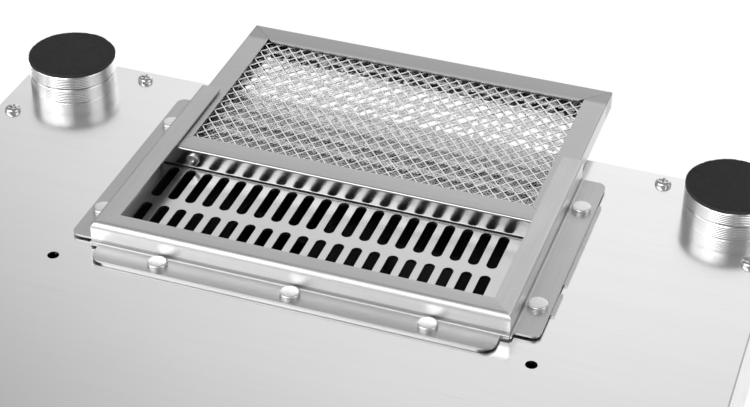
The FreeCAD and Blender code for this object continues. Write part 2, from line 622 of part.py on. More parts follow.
def case_screws():
    """Screws in the cover's sides and in the rear panel."""
    screw = pan_screw(6.0)
    screws = [placed(screw, (side * HALF_BODY, at, DECK_Z + 8), (-side, 0, 0))
              for side in (-1, 1) for at in COVER_SCREW_YS]
    screws += [placed(screw, (x, BODY_Y1, z), (0, -1, 0)) for x, z in REAR_SCREWS]
    return group(screws)


# ---- oven chamber ----
def lamp_rods(radius, half):
    """One rod for each lamp, above and below the boards."""
    places = [(d, TOP_LAMP_Z) for d in TOP_LAMPS] + [(d, BOTTOM_LAMP_Z) for d in BOTTOM_LAMPS]
    return [rod(radius, (-half, y(d), z), (half, y(d), z)) for d, z in places]


def chamber_liner():
    d0, d1 = y(CHAMBER_D0), y(CHAMBER_D1)
    liner = box(-CHAMBER_HALF_W, CHAMBER_HALF_W, d0, d1, CHAMBER_Z0, CHAMBER_Z1)
    liner = liner.cut(box(-CHAMBER_HALF_W + LINER_T, CHAMBER_HALF_W - LINER_T, d0 - 1, d1 - LINER_T,
                          CHAMBER_Z0 + LINER_T, CHAMBER_Z1 - LINER_T))
    cuts = lamp_rods(LAMP_R + 0.4, LAMP_HALF + 2)
    cuts.append(rod(6.0, (0, d1 - 3, BLOWER_Z), (0, d1 + 1, BLOWER_Z)))
    cuts.append(rod(DUCT_R - 1, (DUCT_X, d1 - 3, DUCT_Z), (DUCT_X, d1 + 1, DUCT_Z)))
    cuts.append(rod(PROBE_R + 0.1, (-160, PROBE_Y, PROBE_Z), (-130, PROBE_Y, PROBE_Z)))
    return liner.cut(cuts)


PROBE_R, PROBE_Y, PROBE_Z = 1.6, y(145), 190.0


def insulation():
    """Mineral-wool jacket round the chamber."""
    out, d0, d1 = 168.0, y(CHAMBER_D0 + 1), y(CHAMBER_D1 + 28)
    jacket = box(-out, out, d0, d1, DECK_Z + 0.5, CHAMBER_Z1 + 24)
    room = 0.3
    jacket = jacket.cut(box(-CHAMBER_HALF_W - room, CHAMBER_HALF_W + room, d0 - 1, y(CHAMBER_D1) + room,
                            CHAMBER_Z0 - room, CHAMBER_Z1 + room))
    cuts = lamp_rods(9.0, 162.0)
    cuts.append(rod(8.0, (0, y(CHAMBER_D1 - 1), BLOWER_Z), (0, d1 + 1, BLOWER_Z)))
    cuts.append(rod(DUCT_R + 0.3, (DUCT_X, y(CHAMBER_D1 - 1), DUCT_Z), (DUCT_X, d1 + 1, DUCT_Z)))
    cuts.append(rod(6.5, (-170, PROBE_Y, PROBE_Z), (-130, PROBE_Y, PROBE_Z)))
    return jacket.cut(cuts)


def quartz_lamps():
    shells = lamp_rods(LAMP_R, LAMP_HALF)
    bores = lamp_rods(LAMP_R - 1.0, LAMP_HALF + 1)
    return group([shell.cut(bore) for shell, bore in zip(shells, bores)])


def lamp_ceramics():
    """Ceramic end caps that carry the lamps outside the liner."""
    ends = []
    for side in (-1, 1):
        for depths, z in ((TOP_LAMPS, TOP_LAMP_Z), (BOTTOM_LAMPS, BOTTOM_LAMP_Z)):
            for d in depths:
                x0, x1 = side * (CHAMBER_HALF_W + 0.3), side * (CHAMBER_HALF_W + 18)
                cap = rod(8.0, (x0, y(d), z), (x1, y(d), z))
                socket = rod(LAMP_R + 0.1, (x0 - side, y(d), z), (side * (LAMP_HALF + 0.2), y(d), z))
                ends.append(cap.cut(socket))
    return group(ends)


def fan_baffle():
    """Perforated screen in front of the blower."""
    inset = LINER_T + 0.3
    half = CHAMBER_HALF_W - inset
    plate = box(-half, half, y(BAFFLE_D), y(BAFFLE_D + 1), CHAMBER_Z0 + inset, CHAMBER_Z1 - inset)
    holes = [rod(3.0, (0, y(BAFFLE_D - 1), BLOWER_Z), (0, y(BAFFLE_D + 2), BLOWER_Z))]
    for ring, count in ((10.0, 6), (20.0, 12), (30.0, 18), (40.0, 24)):
        for n in range(count):
            a = 2 * math.pi * n / count
            x, z = ring * math.cos(a), BLOWER_Z + ring * math.sin(a)
            holes.append(rod(3.0, (x, y(BAFFLE_D - 1), z), (x, y(BAFFLE_D + 2), z)))
    for side in (-1, 1):
        for n in range(5):
            holes.append(upright_slot(side * (84 + n * 11), y(BAFFLE_D - 1), y(BAFFLE_D + 2),
                                      BLOWER_Z - 45, BLOWER_Z + 45, 5.0))
    return plate.cut(holes)


def rack_runners():
    """Channels on the chamber's walls in which the drawer's side bars run."""
    wall, t, room = CHAMBER_HALF_W - LINER_T, 1.5, 0.4
    channel = box(RUNNER_IN, wall, y(42), y(249.5), BAR_Z0 - room - t, BAR_Z1 + room + t)
    channel = channel.cut(box(RUNNER_IN - 1, wall - t, y(41), y(251), BAR_Z0 - room, BAR_Z1 + room))
    return group([channel, mirrored(channel)])


def thermocouple():
    """Sheathed probe through the left wall, with its fixing nut."""
    x = -CHAMBER_HALF_W
    probe = rod(PROBE_R, (x - 22, PROBE_Y, PROBE_Z), (x + 36, PROBE_Y, PROBE_Z))
    nut = rod(5.0, (x - 8, PROBE_Y, PROBE_Z), (x, PROBE_Y, PROBE_Z))
    return joined([probe, nut])


# ---- blower ----
def blower_wheel():
    """Radial wheel on the Y axis: a back plate, straight blades and a hub."""
    r, hub = 52.0, 9.0
    low, high = y(WHEEL_D0), y(WHEEL_D1)
    wheel = rod(r, (0, high - 1.5, 0), (0, high, 0)).fuse(rod(hub, (0, low + 4, 0), (0, high, 0)))
    for n in range(12):
        blade = box(24, r - 0.5, low, high - 1, -0.7, 0.7)
        blade.rotate(V(24, 0, 0), V(0, 1, 0), 25)
        blade.rotate(V(0, 0, 0), V(0, 1, 0), n * 30)
        wheel = wheel.fuse(blade)
    rim = tube(r, 46.0, (0, low, 0), (0, low + 1.2, 0))
    wheel = wheel.fuse(rim).cut(rod(SHAFT_R, (0, low - 1, 0), (0, high + 1, 0)))
    wheel.translate(V(0, 0, BLOWER_Z))
    return wheel.removeSplitter()


SHAFT_R = 4.0
MOTOR_D0, MOTOR_D1, MOTOR_R = 334.0, 392.0, 34.0


def blower_shaft():
    return rod(SHAFT_R, (0, y(WHEEL_D0 + 4), BLOWER_Z), (0, y(MOTOR_D0 + 30), BLOWER_Z))


def blower_motor():
    d0, d1 = y(MOTOR_D0), y(MOTOR_D1)
    body = rod(MOTOR_R, (0, d0, BLOWER_Z), (0, d1, BLOWER_Z))
    foot = box(-30, 30, d0, d0 + 3, DECK_Z, BLOWER_Z)
    sole = box(-30, 30, d0, d0 + 30, DECK_Z, DECK_Z + 3)
    bore = rod(SHAFT_R + 0.08, (0, d0 - 1, BLOWER_Z), (0, y(MOTOR_D0 + 30.5), BLOWER_Z))
    return joined([body, foot, sole]).cut(bore)


# ---- exhaust ----
def exhaust_duct():
    start, end = y(CHAMBER_D1 + 0.2), BODY_Y1 - SHEET - 0.2
    return tube(DUCT_R, DUCT_R - 1, (DUCT_X, start, DUCT_Z), (DUCT_X, end, DUCT_Z))


def exhaust_collar():
    """Flanged spigot that an extraction hose slides over."""
    back, end = BODY_Y1, BODY_Y1 + COLLAR_L
    x, z = DUCT_X, DUCT_Z
    flange = rounded(box(x - 48, x + 48, back, back + 1.5, z - 48, z + 48), 5.0, (0, 1, 0))
    spigot = rod(COLLAR_R, (x, back, z), (x, end, z))
    collar = joined([flange, spigot]).cut(rod(COLLAR_R - 1.2, (x, back - 1, z), (x, end + 1, z)))
    corners = [(x + sx * 40, z + sz * 40) for sx in (-1, 1) for sz in (-1, 1)]
    return collar.cut([rod(2.1, (cx, back - 1, cz), (cx, back + 3, cz)) for cx, cz in corners])


# ---- drawer ----
FACE_BACK = DRAWER_FACE + DRAWER_SHEET
WINDOW_Z0, WINDOW_Z1 = WINDOW_Z - WINDOW_H / 2, WINDOW_Z + WINDOW_H / 2


def drawer_front():
    """Dished front plate with a window and folded edges."""
    d0, d1, within = y(DRAWER_FACE), y(BODY_FRONT - 1.0), y(FACE_BACK)
    half, low, high = DRAWER_HALF_W, DRAWER_Z0, DRAWER_Z1
    pan = rounded(box(-half, half, d0, d1, low, high), 5.0, (0, 1, 0))
    half, low, high = half - DRAWER_SHEET, low + DRAWER_SHEET, high - DRAWER_SHEET
    pan = pan.cut(rounded(box(-half, half, within, d1 + 1, low, high), 3.0, (0, 1, 0)))
    window = box(-WINDOW_HALF_W, WINDOW_HALF_W, d0 - 1, within + 1, WINDOW_Z0, WINDOW_Z1)
    holes = [rod(3.1, (s * POST_X, d0 - 1, HANDLE_Z), (s * POST_X, within + 1, HANDLE_Z)) for s in (-1, 1)]
    return pan.cut([rounded(window, 6.0, (0, 1, 0))] + holes)


POST_X = 90.0
GLASS_T, GLASS_LAP = 4.0, 5.0


def drawer_glass():
    """Outer and inner panes of the window."""
    panes = []
    for d0 in (FACE_BACK + 0.2, PLUG_D1 - 6.5):
        panes.append(box(-WINDOW_HALF_W - GLASS_LAP, WINDOW_HALF_W + GLASS_LAP, y(d0), y(d0 + GLASS_T),
                         WINDOW_Z0 - GLASS_LAP, WINDOW_Z1 + GLASS_LAP))
    return group(panes)


def drawer_plug():
    """Dished box behind the front that closes the oven's mouth, and the plate that carries it."""
    skin, start, back = 1.2, FACE_BACK + 1, PLUG_D1
    lap_w, lap_z = WINDOW_HALF_W + GLASS_LAP, GLASS_LAP
    plate = box(-150, 150, y(FACE_BACK), y(start), DRAWER_Z0 + 10, DRAWER_Z1 - 10)
    dish = rounded(box(-PLUG_HALF_W, PLUG_HALF_W, y(start), y(back), PLUG_Z0, PLUG_Z1), 3.0, (0, 1, 0))
    half, low, high = PLUG_HALF_W - skin, PLUG_Z0 + skin, PLUG_Z1 - skin
    inside = box(-half, half, y(start - 1), y(back - skin), low, high)
    lap_w, z0, z1 = lap_w + 1.4, WINDOW_Z0 - lap_z - 1.4, WINDOW_Z1 + lap_z + 1.4
    tunnel = box(-lap_w, lap_w, y(BODY_FRONT + 2), y(back), z0, z1)
    seat = box(-lap_w + 1.2, lap_w - 1.2, y(back - 6.7), y(back - skin), z0 + 1.2, z1 - 1.2)
    view = box(-WINDOW_HALF_W + 1, WINDOW_HALF_W - 1, y(start - 1), y(back + 1), WINDOW_Z0 + 1, WINDOW_Z1 - 1)
    pane = box(-lap_w, lap_w, y(FACE_BACK - 1), y(start + 4), z0, z1)
    posts = [rod(7.0, (s * POST_X, y(0), HANDLE_Z), (s * POST_X, y(start + 8), HANDLE_Z)) for s in (-1, 1)]
    return group([plate.cut([pane] + posts), dish.cut(inside).fuse(tunnel).cut([seat, view] + posts)])


def drawer_seal():
    """Silicone frame that presses on the oven's face round its mouth."""
    d0, d1 = y(FACE_BACK + 1.1), y(BODY_FRONT - 0.3)
    seal = box(-150, 150, d0, d1, 100, 246)
    return seal.cut(box(-PLUG_HALF_W - 5, PLUG_HALF_W + 5, d0 - 1, d1 + 1, PLUG_Z0 - 5, PLUG_Z1 + 5))


def drawer_handle():
    """Bar on two posts, as three pieces."""
    reach = y(DRAWER_FACE - HANDLE_REACH)
    bar = rod(HANDLE_R, (-HANDLE_HALF, reach, HANDLE_Z), (HANDLE_HALF, reach, HANDLE_Z))
    rims = [e for e in bar.Edges if len(e.Vertexes) == 1]
    bar = bar.makeFillet(1.5, rims)
    posts = []
    for x in (-POST_X, POST_X):
        post = rod(5.0, (x, reach, HANDLE_Z), (x, y(DRAWER_FACE), HANDLE_Z))
        stem = rod(3.0, (x, y(DRAWER_FACE), HANDLE_Z), (x, y(FACE_BACK + 5), HANDLE_Z))
        posts.append(joined([post.cut(bar), stem]))
    return group([bar] + posts)


def drawer_bars():
    """Flat side bars that run on the chamber's rails."""
    bar = box(BAR_HALF - BAR_T, BAR_HALF, y(PLUG_D1), y(BAR_D1), BAR_Z0, BAR_Z1)
    return group([bar, mirrored(bar)])


def board_rack():
    """Wire rack for circuit boards, hung between the side bars."""
    inner, z, r = BAR_HALF - BAR_T, BAR_Z1 - 4.0, 1.5
    d0, d1 = PLUG_D1 + 6, BAR_D1 - 6
    wires = []
    count = 15
    for n in range(count):
        d = y(d0 + n * (d1 - d0) / (count - 1))
        wires.append(rod(r, (-inner, d, z), (inner, d, z)))
    for n in range(5):
        x = (n - 2) * 55.0
        wires.append(rod(r, (x, y(d0 - 3), z - 1.5), (x, y(d1 + 3), z - 1.5)))
    return joined(wires)


# ---- controls ----
def control_panel():
    """Face plate over the opening in the base's front, pierced for the screen and the controls."""
    low, high = CONTROL_Z - CONTROL_H / 2, CONTROL_Z + CONTROL_H / 2
    plate = rounded(box(-CONTROL_HALF_W, CONTROL_HALF_W, y(-CONTROL_T), y(0), low, high), 4.0, (0, 1, 0))
    cuts = [box(SCREEN_X - SCREEN_W / 2, SCREEN_X + SCREEN_W / 2, y(-3), y(1), CONTROL_Z - SCREEN_H / 2,
                CONTROL_Z + SCREEN_H / 2)]
    cuts += [rod(BUTTON_R + 0.4, (x, y(-3), CONTROL_Z), (x, y(1), CONTROL_Z)) for x in BUTTON_XS.values()]
    cuts.append(rod(3.4, (KNOB_X, y(-3), CONTROL_Z), (KNOB_X, y(1), CONTROL_Z)))
    cuts.append(box(SWITCH_X - SWITCH_W / 2 - 0.5, SWITCH_X + SWITCH_W / 2 + 0.5, y(-3), y(1),
                    CONTROL_Z - SWITCH_H / 2 - 0.5, CONTROL_Z + SWITCH_H / 2 + 0.5))
    return plate.cut(cuts)


def display_module():
    """Circuit board behind the controls, with the screen, the keys' switches and the knob's encoder."""
    seat, back = y(6.6), y(8.2)
    board = box(SCREEN_X - 50, KNOB_X + 16, seat, back, CONTROL_Z - 18.5, CONTROL_Z + 18.5)
    lens = box(SCREEN_X - SCREEN_W / 2 + 0.1, SCREEN_X + SCREEN_W / 2 - 0.1, y(-1.6), y(0.4),
               CONTROL_Z - SCREEN_H / 2 + 0.1, CONTROL_Z + SCREEN_H / 2 - 0.1)
    body = box(SCREEN_X - 50, SCREEN_X + 50, y(0.4), seat, CONTROL_Z - 18.5, CONTROL_Z + 18.5)
    switches = [box(x - 3.2, x + 3.2, y(4.8), seat, CONTROL_Z - 3.2, CONTROL_Z + 3.2)
                for x in BUTTON_XS.values()]
    encoder = box(KNOB_X - 7, KNOB_X + 7, y(0.3), seat, CONTROL_Z - 6.5, CONTROL_Z + 6.5)
    encoder = encoder.cut(rod(KNOB_SHAFT_R + 0.08, (KNOB_X, y(-1), CONTROL_Z), (KNOB_X, seat, CONTROL_Z)))
    return joined([board, lens, body, encoder] + switches)


def push_button(x):
    """A domed key on a short stem."""
    back = y(BUTTON_TRAVEL + 2.0)
    cap = rod(BUTTON_R, (x, y(-CONTROL_T - BUTTON_PROUD), CONTROL_Z), (x, back, CONTROL_Z))
    front = y(-CONTROL_T - BUTTON_PROUD)
    rims = [e for e in cap.Edges if len(e.Vertexes) == 1 and abs(e.BoundBox.YMax - front) < 1e-6]
    return cap.makeFillet(1.0, rims)


def control_knob():
    """Turned knob with a flat pointer face, on the encoder's shaft."""
    front, back = y(-CONTROL_T - 0.6 - KNOB_L), y(-CONTROL_T - 0.6)
    knob = rod(KNOB_R, (KNOB_X, front, CONTROL_Z), (KNOB_X, back, CONTROL_Z))
    rims = [e for e in knob.Edges if len(e.Vertexes) == 1 and abs(e.BoundBox.YMax - front) < 1e-6]
    knob = knob.makeFillet(1.5, rims)
    grips = []
    for n in range(24):
        a = 2 * math.pi * n / 24
        x, z = KNOB_X + KNOB_R * math.cos(a), CONTROL_Z + KNOB_R * math.sin(a)
        grips.append(rod(0.8, (x, front + 3, z), (x, back + 1, z)))
    pointer = box(KNOB_X - 0.8, KNOB_X + 0.8, front - 1, front + 0.8, CONTROL_Z + 4, CONTROL_Z + 11)
    shaft = rod(KNOB_SHAFT_R, (KNOB_X, back, CONTROL_Z), (KNOB_X, y(6.0), CONTROL_Z))
    return joined([knob.cut(grips + [pointer]), shaft])


SWITCH_PIVOT = 3.0


def switch_housing():
    """Case of the mains switch behind the plate, with bearings for the rocker."""
    half_w, half_h = SWITCH_W / 2, SWITCH_H / 2 + 0.5
    x, z, pivot = SWITCH_X, CONTROL_Z, y(SWITCH_PIVOT)
    case = box(x - 11, x + 11, y(0), y(9.5), z - half_h - 1.5, z + half_h + 1.5)
    case = case.cut(box(x - half_w, x + half_w, y(-1), y(8), z - half_h, z + half_h))
    return case.cut(rod(1.58, (x - 10, pivot, z), (x + 10, pivot, z)))


def rocker():
    """Rocker of the mains switch, tipped towards off, with its axle."""
    half_w, half_h, pivot = SWITCH_W / 2 - 0.6, SWITCH_H / 2 - 1.6, y(SWITCH_PIVOT)
    outline = [(y(-CONTROL_T - 2.6), CONTROL_Z + half_h), (y(-CONTROL_T - 0.6), CONTROL_Z),
               (y(-CONTROL_T - 1.2), CONTROL_Z - half_h), (pivot + 2, CONTROL_Z - half_h + 2),
               (pivot + 2, CONTROL_Z + half_h - 2)]
    tip = prism([(SWITCH_X - half_w, a, z) for a, z in outline], (2 * half_w, 0, 0))
    axle = rod(1.5, (SWITCH_X - 9.6, pivot, CONTROL_Z), (SWITCH_X + 9.6, pivot, CONTROL_Z))
    return joined([tip, axle])


# ---- writing the nodes ----
BASE = {
    "bottom_panel": bottom_panel, "base_shell": base_shell, "bottom_panel_screws": panel_screws,
    "foot_rings": foot_rings, "foot_nuts": foot_nuts, "air_plenum": air_plenum,
    "cooling_fan_frame": cooling_fan_frame, "cooling_fan_rotor": cooling_fan_rotor,
    "controller_board": controller_board, "relay_heatsink": relay_heatsink,
    "power_supply": power_supply, "mains_inlet": mains_inlet,
}
FILTER = {
    "filter_rail_right": side_rail, "filter_rail_left": lambda: mirrored(side_rail()),
    "filter_rail_stop": stop_rail, "filter_rail_packing": rail_packing, "filter_rail_rivets": rail_rivets,
    "filter_frame": filter_frame, "filter_meshes": filter_meshes, "filter_media": filter_media,
    "filter_rivet": filter_rivet,
}
OVEN = {
    "upper_cover": upper_cover, "rear_panel": rear_panel, "front_fascia": front_fascia,
    "case_screws": case_screws, "chamber_liner": chamber_liner, "insulation": insulation,
    "quartz_lamps": quartz_lamps, "lamp_ceramics": lamp_ceramics, "fan_baffle": fan_baffle,
    "rack_runners": rack_runners, "thermocouple": thermocouple, "blower_wheel": blower_wheel,
    "blower_shaft": blower_shaft, "blower_motor": blower_motor, "exhaust_duct": exhaust_duct,
    "exhaust_collar": exhaust_collar,
}
DRAWER = {
    "drawer_front": drawer_front, "drawer_glass": drawer_glass, "drawer_plug": drawer_plug,
    "drawer_seal": drawer_seal, "drawer_handle": drawer_handle, "drawer_bars": drawer_bars,
    "board_rack": board_rack,
}
CONTROLS = {
    "control_panel": control_panel, "display_module": display_module, "control_knob": control_knob,
    "switch_housing": switch_housing, "rocker": rocker,
}


def nodes():
    makers = {**BASE, **FILTER, **OVEN, **DRAWER, **CONTROLS}
    made = {name: make() for name, make in makers.items()}
    made.update({name: push_button(x) for name, x in BUTTON_XS.items()})
    for place in FOOT_PLACES:
        made[f"foot_cap_{place}"] = foot_cap(place)
        made[f"foot_pad_{place}"] = foot_pad(place)
    return made


os.makedirs("parts", exist_ok=True)
for name, shape in nodes().items():
    if not shape.isValid():
        print("This node's shape is not valid:", name)
    shape.exportStep(f"parts/{name}.step")
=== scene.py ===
"""Looks of the benchtop reflow oven: finishes for its sheet metal, and the fine pieces
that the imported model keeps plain. Lengths are in metres unless a name ends in _MM."""
import json
import math

import bmesh
import bpy
from mathutils import Matrix, Vector, noise


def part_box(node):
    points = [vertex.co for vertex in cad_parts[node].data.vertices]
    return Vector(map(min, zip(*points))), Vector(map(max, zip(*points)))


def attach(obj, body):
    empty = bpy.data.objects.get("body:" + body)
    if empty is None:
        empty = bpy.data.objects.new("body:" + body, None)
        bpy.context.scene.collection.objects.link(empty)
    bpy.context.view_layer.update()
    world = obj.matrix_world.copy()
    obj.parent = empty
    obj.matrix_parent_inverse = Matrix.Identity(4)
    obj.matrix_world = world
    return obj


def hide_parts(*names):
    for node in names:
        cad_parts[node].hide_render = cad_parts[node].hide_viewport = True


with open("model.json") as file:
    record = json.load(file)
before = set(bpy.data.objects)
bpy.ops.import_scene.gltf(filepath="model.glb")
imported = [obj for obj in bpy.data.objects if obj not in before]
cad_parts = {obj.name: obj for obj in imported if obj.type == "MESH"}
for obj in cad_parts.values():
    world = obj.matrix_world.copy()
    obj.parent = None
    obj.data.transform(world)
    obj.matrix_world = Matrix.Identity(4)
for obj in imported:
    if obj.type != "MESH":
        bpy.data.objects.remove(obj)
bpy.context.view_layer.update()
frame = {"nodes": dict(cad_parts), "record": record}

MM = 0.001
WELD_AT, DOUBLE_AT, SAME_AT, ON_AXIS = 1e-5, 1e-6, 1e-7, 1e-9
SLOT_OF = {part["node"]: part["material_slot"] for part in frame["record"]["subparts"]}
FEET = ("front_left", "front_right", "rear_left", "rear_right")


# ---- node trees ----
MIX_FIRST, MIX_SECOND, MIX_RESULT = 6, 7, 2  # the Mix node's colour sockets


class Net:
    """A node tree, with short calls for the nodes that the finishes are made of."""

    def __init__(self, tree):
        self.tree = tree

    def put(self, socket, value):
        if isinstance(value, bpy.types.NodeSocket):
            self.tree.links.new(value, socket)
        else:
            socket.default_value = value

    def node(self, kind, inputs=None, **settings):
        made = self.tree.nodes.new(kind)
        for key, value in settings.items():
            setattr(made, key, value)
        for key, value in (inputs or {}).items():
            self.put(made.inputs[key], value)
        return made

    def math(self, operation, first, second=0.0):
        return self.node("ShaderNodeMath", {0: first, 1: second}, operation=operation).outputs[0]

    def vector(self, operation, first, second):
        return self.node("ShaderNodeVectorMath", {0: first, 1: second},
                         operation=operation).outputs[0]

    def dot(self, first, second):
        return self.node("ShaderNodeVectorMath", {0: first, 1: second},
                         operation="DOT_PRODUCT").outputs["Value"]

    def span(self, value, low, high, to_low=0.0, to_high=1.0, soft=False):
        """Carries a value between low and high over to a new range, and holds it there."""
        ends = {"Value": value, "From Min": low, "From Max": high,
                "To Min": to_low, "To Max": to_high}
        return self.node("ShaderNodeMapRange", ends,
                         interpolation_type="SMOOTHSTEP" if soft else "LINEAR").outputs["Result"]

    def noise(self, place, scale, detail=2.0, rough=0.5, warp=0.0):
        ends = {"Vector": place, "Scale": scale, "Detail": detail, "Roughness": rough,
                "Distortion": warp}
        return self.node("ShaderNodeTexNoise", ends).outputs["Fac"]

    def blend(self, share, first, second):
        """The first colour where share is 0, and the second where it is 1."""
        return self.node("ShaderNodeMix", {0: share, MIX_FIRST: first, MIX_SECOND: second},
                         data_type="RGBA").outputs[MIX_RESULT]

    def split(self, place):
        return self.node("ShaderNodeSeparateXYZ", {0: place}).outputs

    def group(self, tree, **inputs):
        made = self.tree.nodes.new("ShaderNodeGroup")
        made.node_tree = tree
        for key, value in inputs.items():
            self.put(made.inputs[key], value)
        return made.outputs


def new_group(name, inputs, outputs):
    """An empty node group: its net, its input sockets and its output sockets."""
    tree = bpy.data.node_groups.new(name, "ShaderNodeTree")
    for label, kind, value in inputs:
        socket = tree.interface.new_socket(label, in_out="INPUT", socket_type="NodeSocket" + kind)
        socket.default_value = value
    for label in outputs:
        tree.interface.new_socket(label, in_out="OUTPUT", socket_type="NodeSocketFloat")
    net = Net(tree)
    return net, net.node("NodeGroupInput").outputs, net.node("NodeGroupOutput").inputs


def brushing_group():
    """Long fine scratches. Along is how often the grain repeats per metre along each axis."""
    net, given, out = new_group(
        "brushing", [("Place", "Vector", (0, 0, 0)), ("Along", "Vector", (30, 900, 900))],
        ["Grain", "Streak"])
    drawn = net.vector("MULTIPLY", given["Place"], given["Along"])
    net.put(out["Grain"], net.noise(drawn, 1.0, 3.0, 0.6))
    net.put(out["Streak"], net.noise(drawn, 0.12, 2.0, 0.5))
    return net.tree


def handling_group():
    """Soft uneven patches, and a few short scuffs, as on sheet that has been handled."""
    net, given, out = new_group(
        "handling", [("Place", "Vector", (0, 0, 0)), ("Size", "Float", 1.0)],
        ["Patches", "Scuffs"])
    sized = net.node("ShaderNodeVectorMath", {0: given["Place"], "Scale": given["Size"]},
                     operation="SCALE").outputs[0]
    net.put(out["Patches"], net.noise(sized, 7.0, 3.0, 0.55, 0.4))
    turned = net.node("ShaderNodeMapping", {
        "Vector": sized, "Rotation": (0.3, 0.2, 0.7), "Scale": (14, 170, 60)})
    hair = net.noise(turned.outputs[0], 1.0, 1.0, 0.4)
    rare = net.noise(sized, 23.0, 0.0)
    scuffs = net.math("MULTIPLY", net.span(hair, 0.70, 0.76), net.span(rare, 0.60, 0.68))
    net.put(out["Scuffs"], scuffs)
    return net.tree


def grit_group():
    """Fine even grain of moulded, cut or cast surfaces. Size is the number of grains per metre."""
    net, given, out = new_group(
        "grit", [("Place", "Vector", (0, 0, 0)), ("Size", "Float", 2500.0)],
        ["Grit", "Specks"])
    fine = net.noise(given["Place"], given["Size"], 2.0, 0.6)
    net.put(out["Grit"], fine)
    coarse = net.math("MULTIPLY", given["Size"], 0.3)
    net.put(out["Specks"], net.span(net.noise(given["Place"], coarse, 1.0), 0.62, 0.72))
    return net.tree


BRUSHING = brushing_group()
HANDLING = handling_group()
GRIT = grit_group()


# ---- finishes ----
# grain repeats per metre along x, y and z, for metal brushed one way or turned
ALONG_X, ALONG_Y, ALONG_Z = (25, 900, 900), (900, 25, 900), (900, 900, 25)
AROUND = (12, 12, 5200)
# parts of a noise's range: where most of it lies, its middle, and all but its darker part
USUAL, MIDDLE, PATCHY = (0.3, 0.7), (0.35, 0.65), (0.35, 0.7)
SCRATCH_MM = 0.02


def grey(level):
    return (level, level, level, 1.0)


def rgb(red, green, blue):
    return (red, green, blue, 1.0)


def tinted(colour, share):
    return tuple(min(1.0, part * share) for part in colour[:3]) + (1.0,)


def new_finish(name, **sockets):
    """A material with only its Principled shader, and the net to feed it."""
    made = bpy.data.materials.new(name)
    made.use_nodes = True
    net = Net(made.node_tree)
    shader = made.node_tree.nodes["Principled BSDF"]
    for key, value in sockets.items():
        net.put(shader.inputs[key.replace("_", " ")], value)
    place = net.node("ShaderNodeTexCoord").outputs["Object"]
    return made, net, shader.inputs, place


def relief(net, ends, height, strength, depth_mm):
    """Fine relief on a surface, from a height between 0 and 1."""
    bump = net.node("ShaderNodeBump", {
        "Height": height, "Strength": strength, "Distance": depth_mm * MM})
    net.put(ends["Normal"], bump.outputs[0])


def within(net, parts, low, high, margin):
    """1 where a point lies more than the margin inside a box, 0 on its outer faces."""
    inside = 1.0
    for axis, floor_at, roof_at in zip("XYZ", low, high):
        above = net.math("GREATER_THAN", parts[axis], floor_at + margin)
        below = net.math("LESS_THAN", parts[axis], roof_at - margin)
        inside = net.math("MULTIPLY", inside, net.math("MULTIPLY", above, below))
    return inside


def sheet_metal(name, colour, rough, along, grain, patches, bump=0.15, uneven=0.06, scuffs=0.5):
    """Rolled or brushed metal: directional grain, soft patches and short scuffs."""
    made, net, ends, place = new_finish(name, Metallic=1.0)
    lines = net.group(BRUSHING, Place=place, Along=along)
    marks = net.group(HANDLING, Place=place, Size=1.0)
    drawn = net.blend(net.span(lines["Grain"], *USUAL),
                      tinted(colour, 1 - grain), tinted(colour, 1 + grain))
    patchy = net.math("MULTIPLY", net.span(marks["Patches"], *PATCHY), patches)
    aged = net.blend(patchy, drawn, tinted(colour, 0.6))
    scuffed = net.math("MULTIPLY", marks["Scuffs"], scuffs * 0.3)
    net.put(ends["Base Color"], net.blend(scuffed, aged, tinted(colour, 0.55)))
    base = net.span(lines["Streak"], *USUAL, rough - uneven / 2, rough + uneven / 2)
    worn = net.math("MULTIPLY", net.span(marks["Patches"], 0.4, 0.7), uneven)
    rubbed = net.math("MULTIPLY", marks["Scuffs"], 0.15 * scuffs)
    net.put(ends["Roughness"], net.math("ADD", base, net.math("ADD", worn, rubbed)))
    relief(net, ends, lines["Grain"], bump, SCRATCH_MM)
    return made


def moulded(name, colour, rough, size=2500.0, bump=0.2, specks=0.15, coat=0.0):
    """Plastic, rubber, ceramic or paint with a fine even grain."""
    made, net, ends, place = new_finish(name, Coat_Weight=coat)
    grain = net.group(GRIT, Place=place, Size=size)
    marks = net.group(HANDLING, Place=place, Size=1.6)
    base = net.blend(net.span(grain["Grit"], *USUAL), tinted(colour, 0.88), tinted(colour, 1.12))
    dusty = net.math("ADD", net.math("MULTIPLY", grain["Specks"], specks),
                     net.math("MULTIPLY", marks["Scuffs"], 0.2))
    net.put(ends["Base Color"], net.blend(dusty, base, tinted(colour, 1.7)))
    net.put(ends["Roughness"], net.span(marks["Patches"], *USUAL, rough - 0.05, rough + 0.07))
    relief(net, ends, grain["Grit"], bump, 0.05)
    return made


def turned_finish(name, colour, rough):
    """Lathe-turned metal: rings that follow the height."""
    made, net, ends, place = new_finish(name, Metallic=1.0)
    lines = net.group(BRUSHING, Place=place, Along=AROUND)
    marks = net.group(HANDLING, Place=place, Size=3.0)
    shade = net.blend(net.span(lines["Grain"], *USUAL), tinted(colour, 0.9), tinted(colour, 1.06))
    dull = net.math("MULTIPLY", net.span(marks["Patches"], 0.45, 0.7), 0.12)
    net.put(ends["Base Color"], net.blend(dull, shade, tinted(colour, 0.7)))
    net.put(ends["Roughness"], net.span(lines["Grain"], *USUAL, rough - 0.04, rough + 0.06))
    relief(net, ends, lines["Grain"], 0.25, SCRATCH_MM)
    return made


RAIL_DEEP = 16.0 * MM  # from a rail's outer edge to the inside of its wall
# the walls' painted highlight starts above LIP_BEND, and the painted shade on the flange against
# the panel starts below SEAT_BEND
LIP_BEND = (0.4 * MM, 1.6 * MM)  # above the rails' lowest face
SEAT_BEND = (4.0 * MM, 3.0 * MM)  # below the rails' highest face


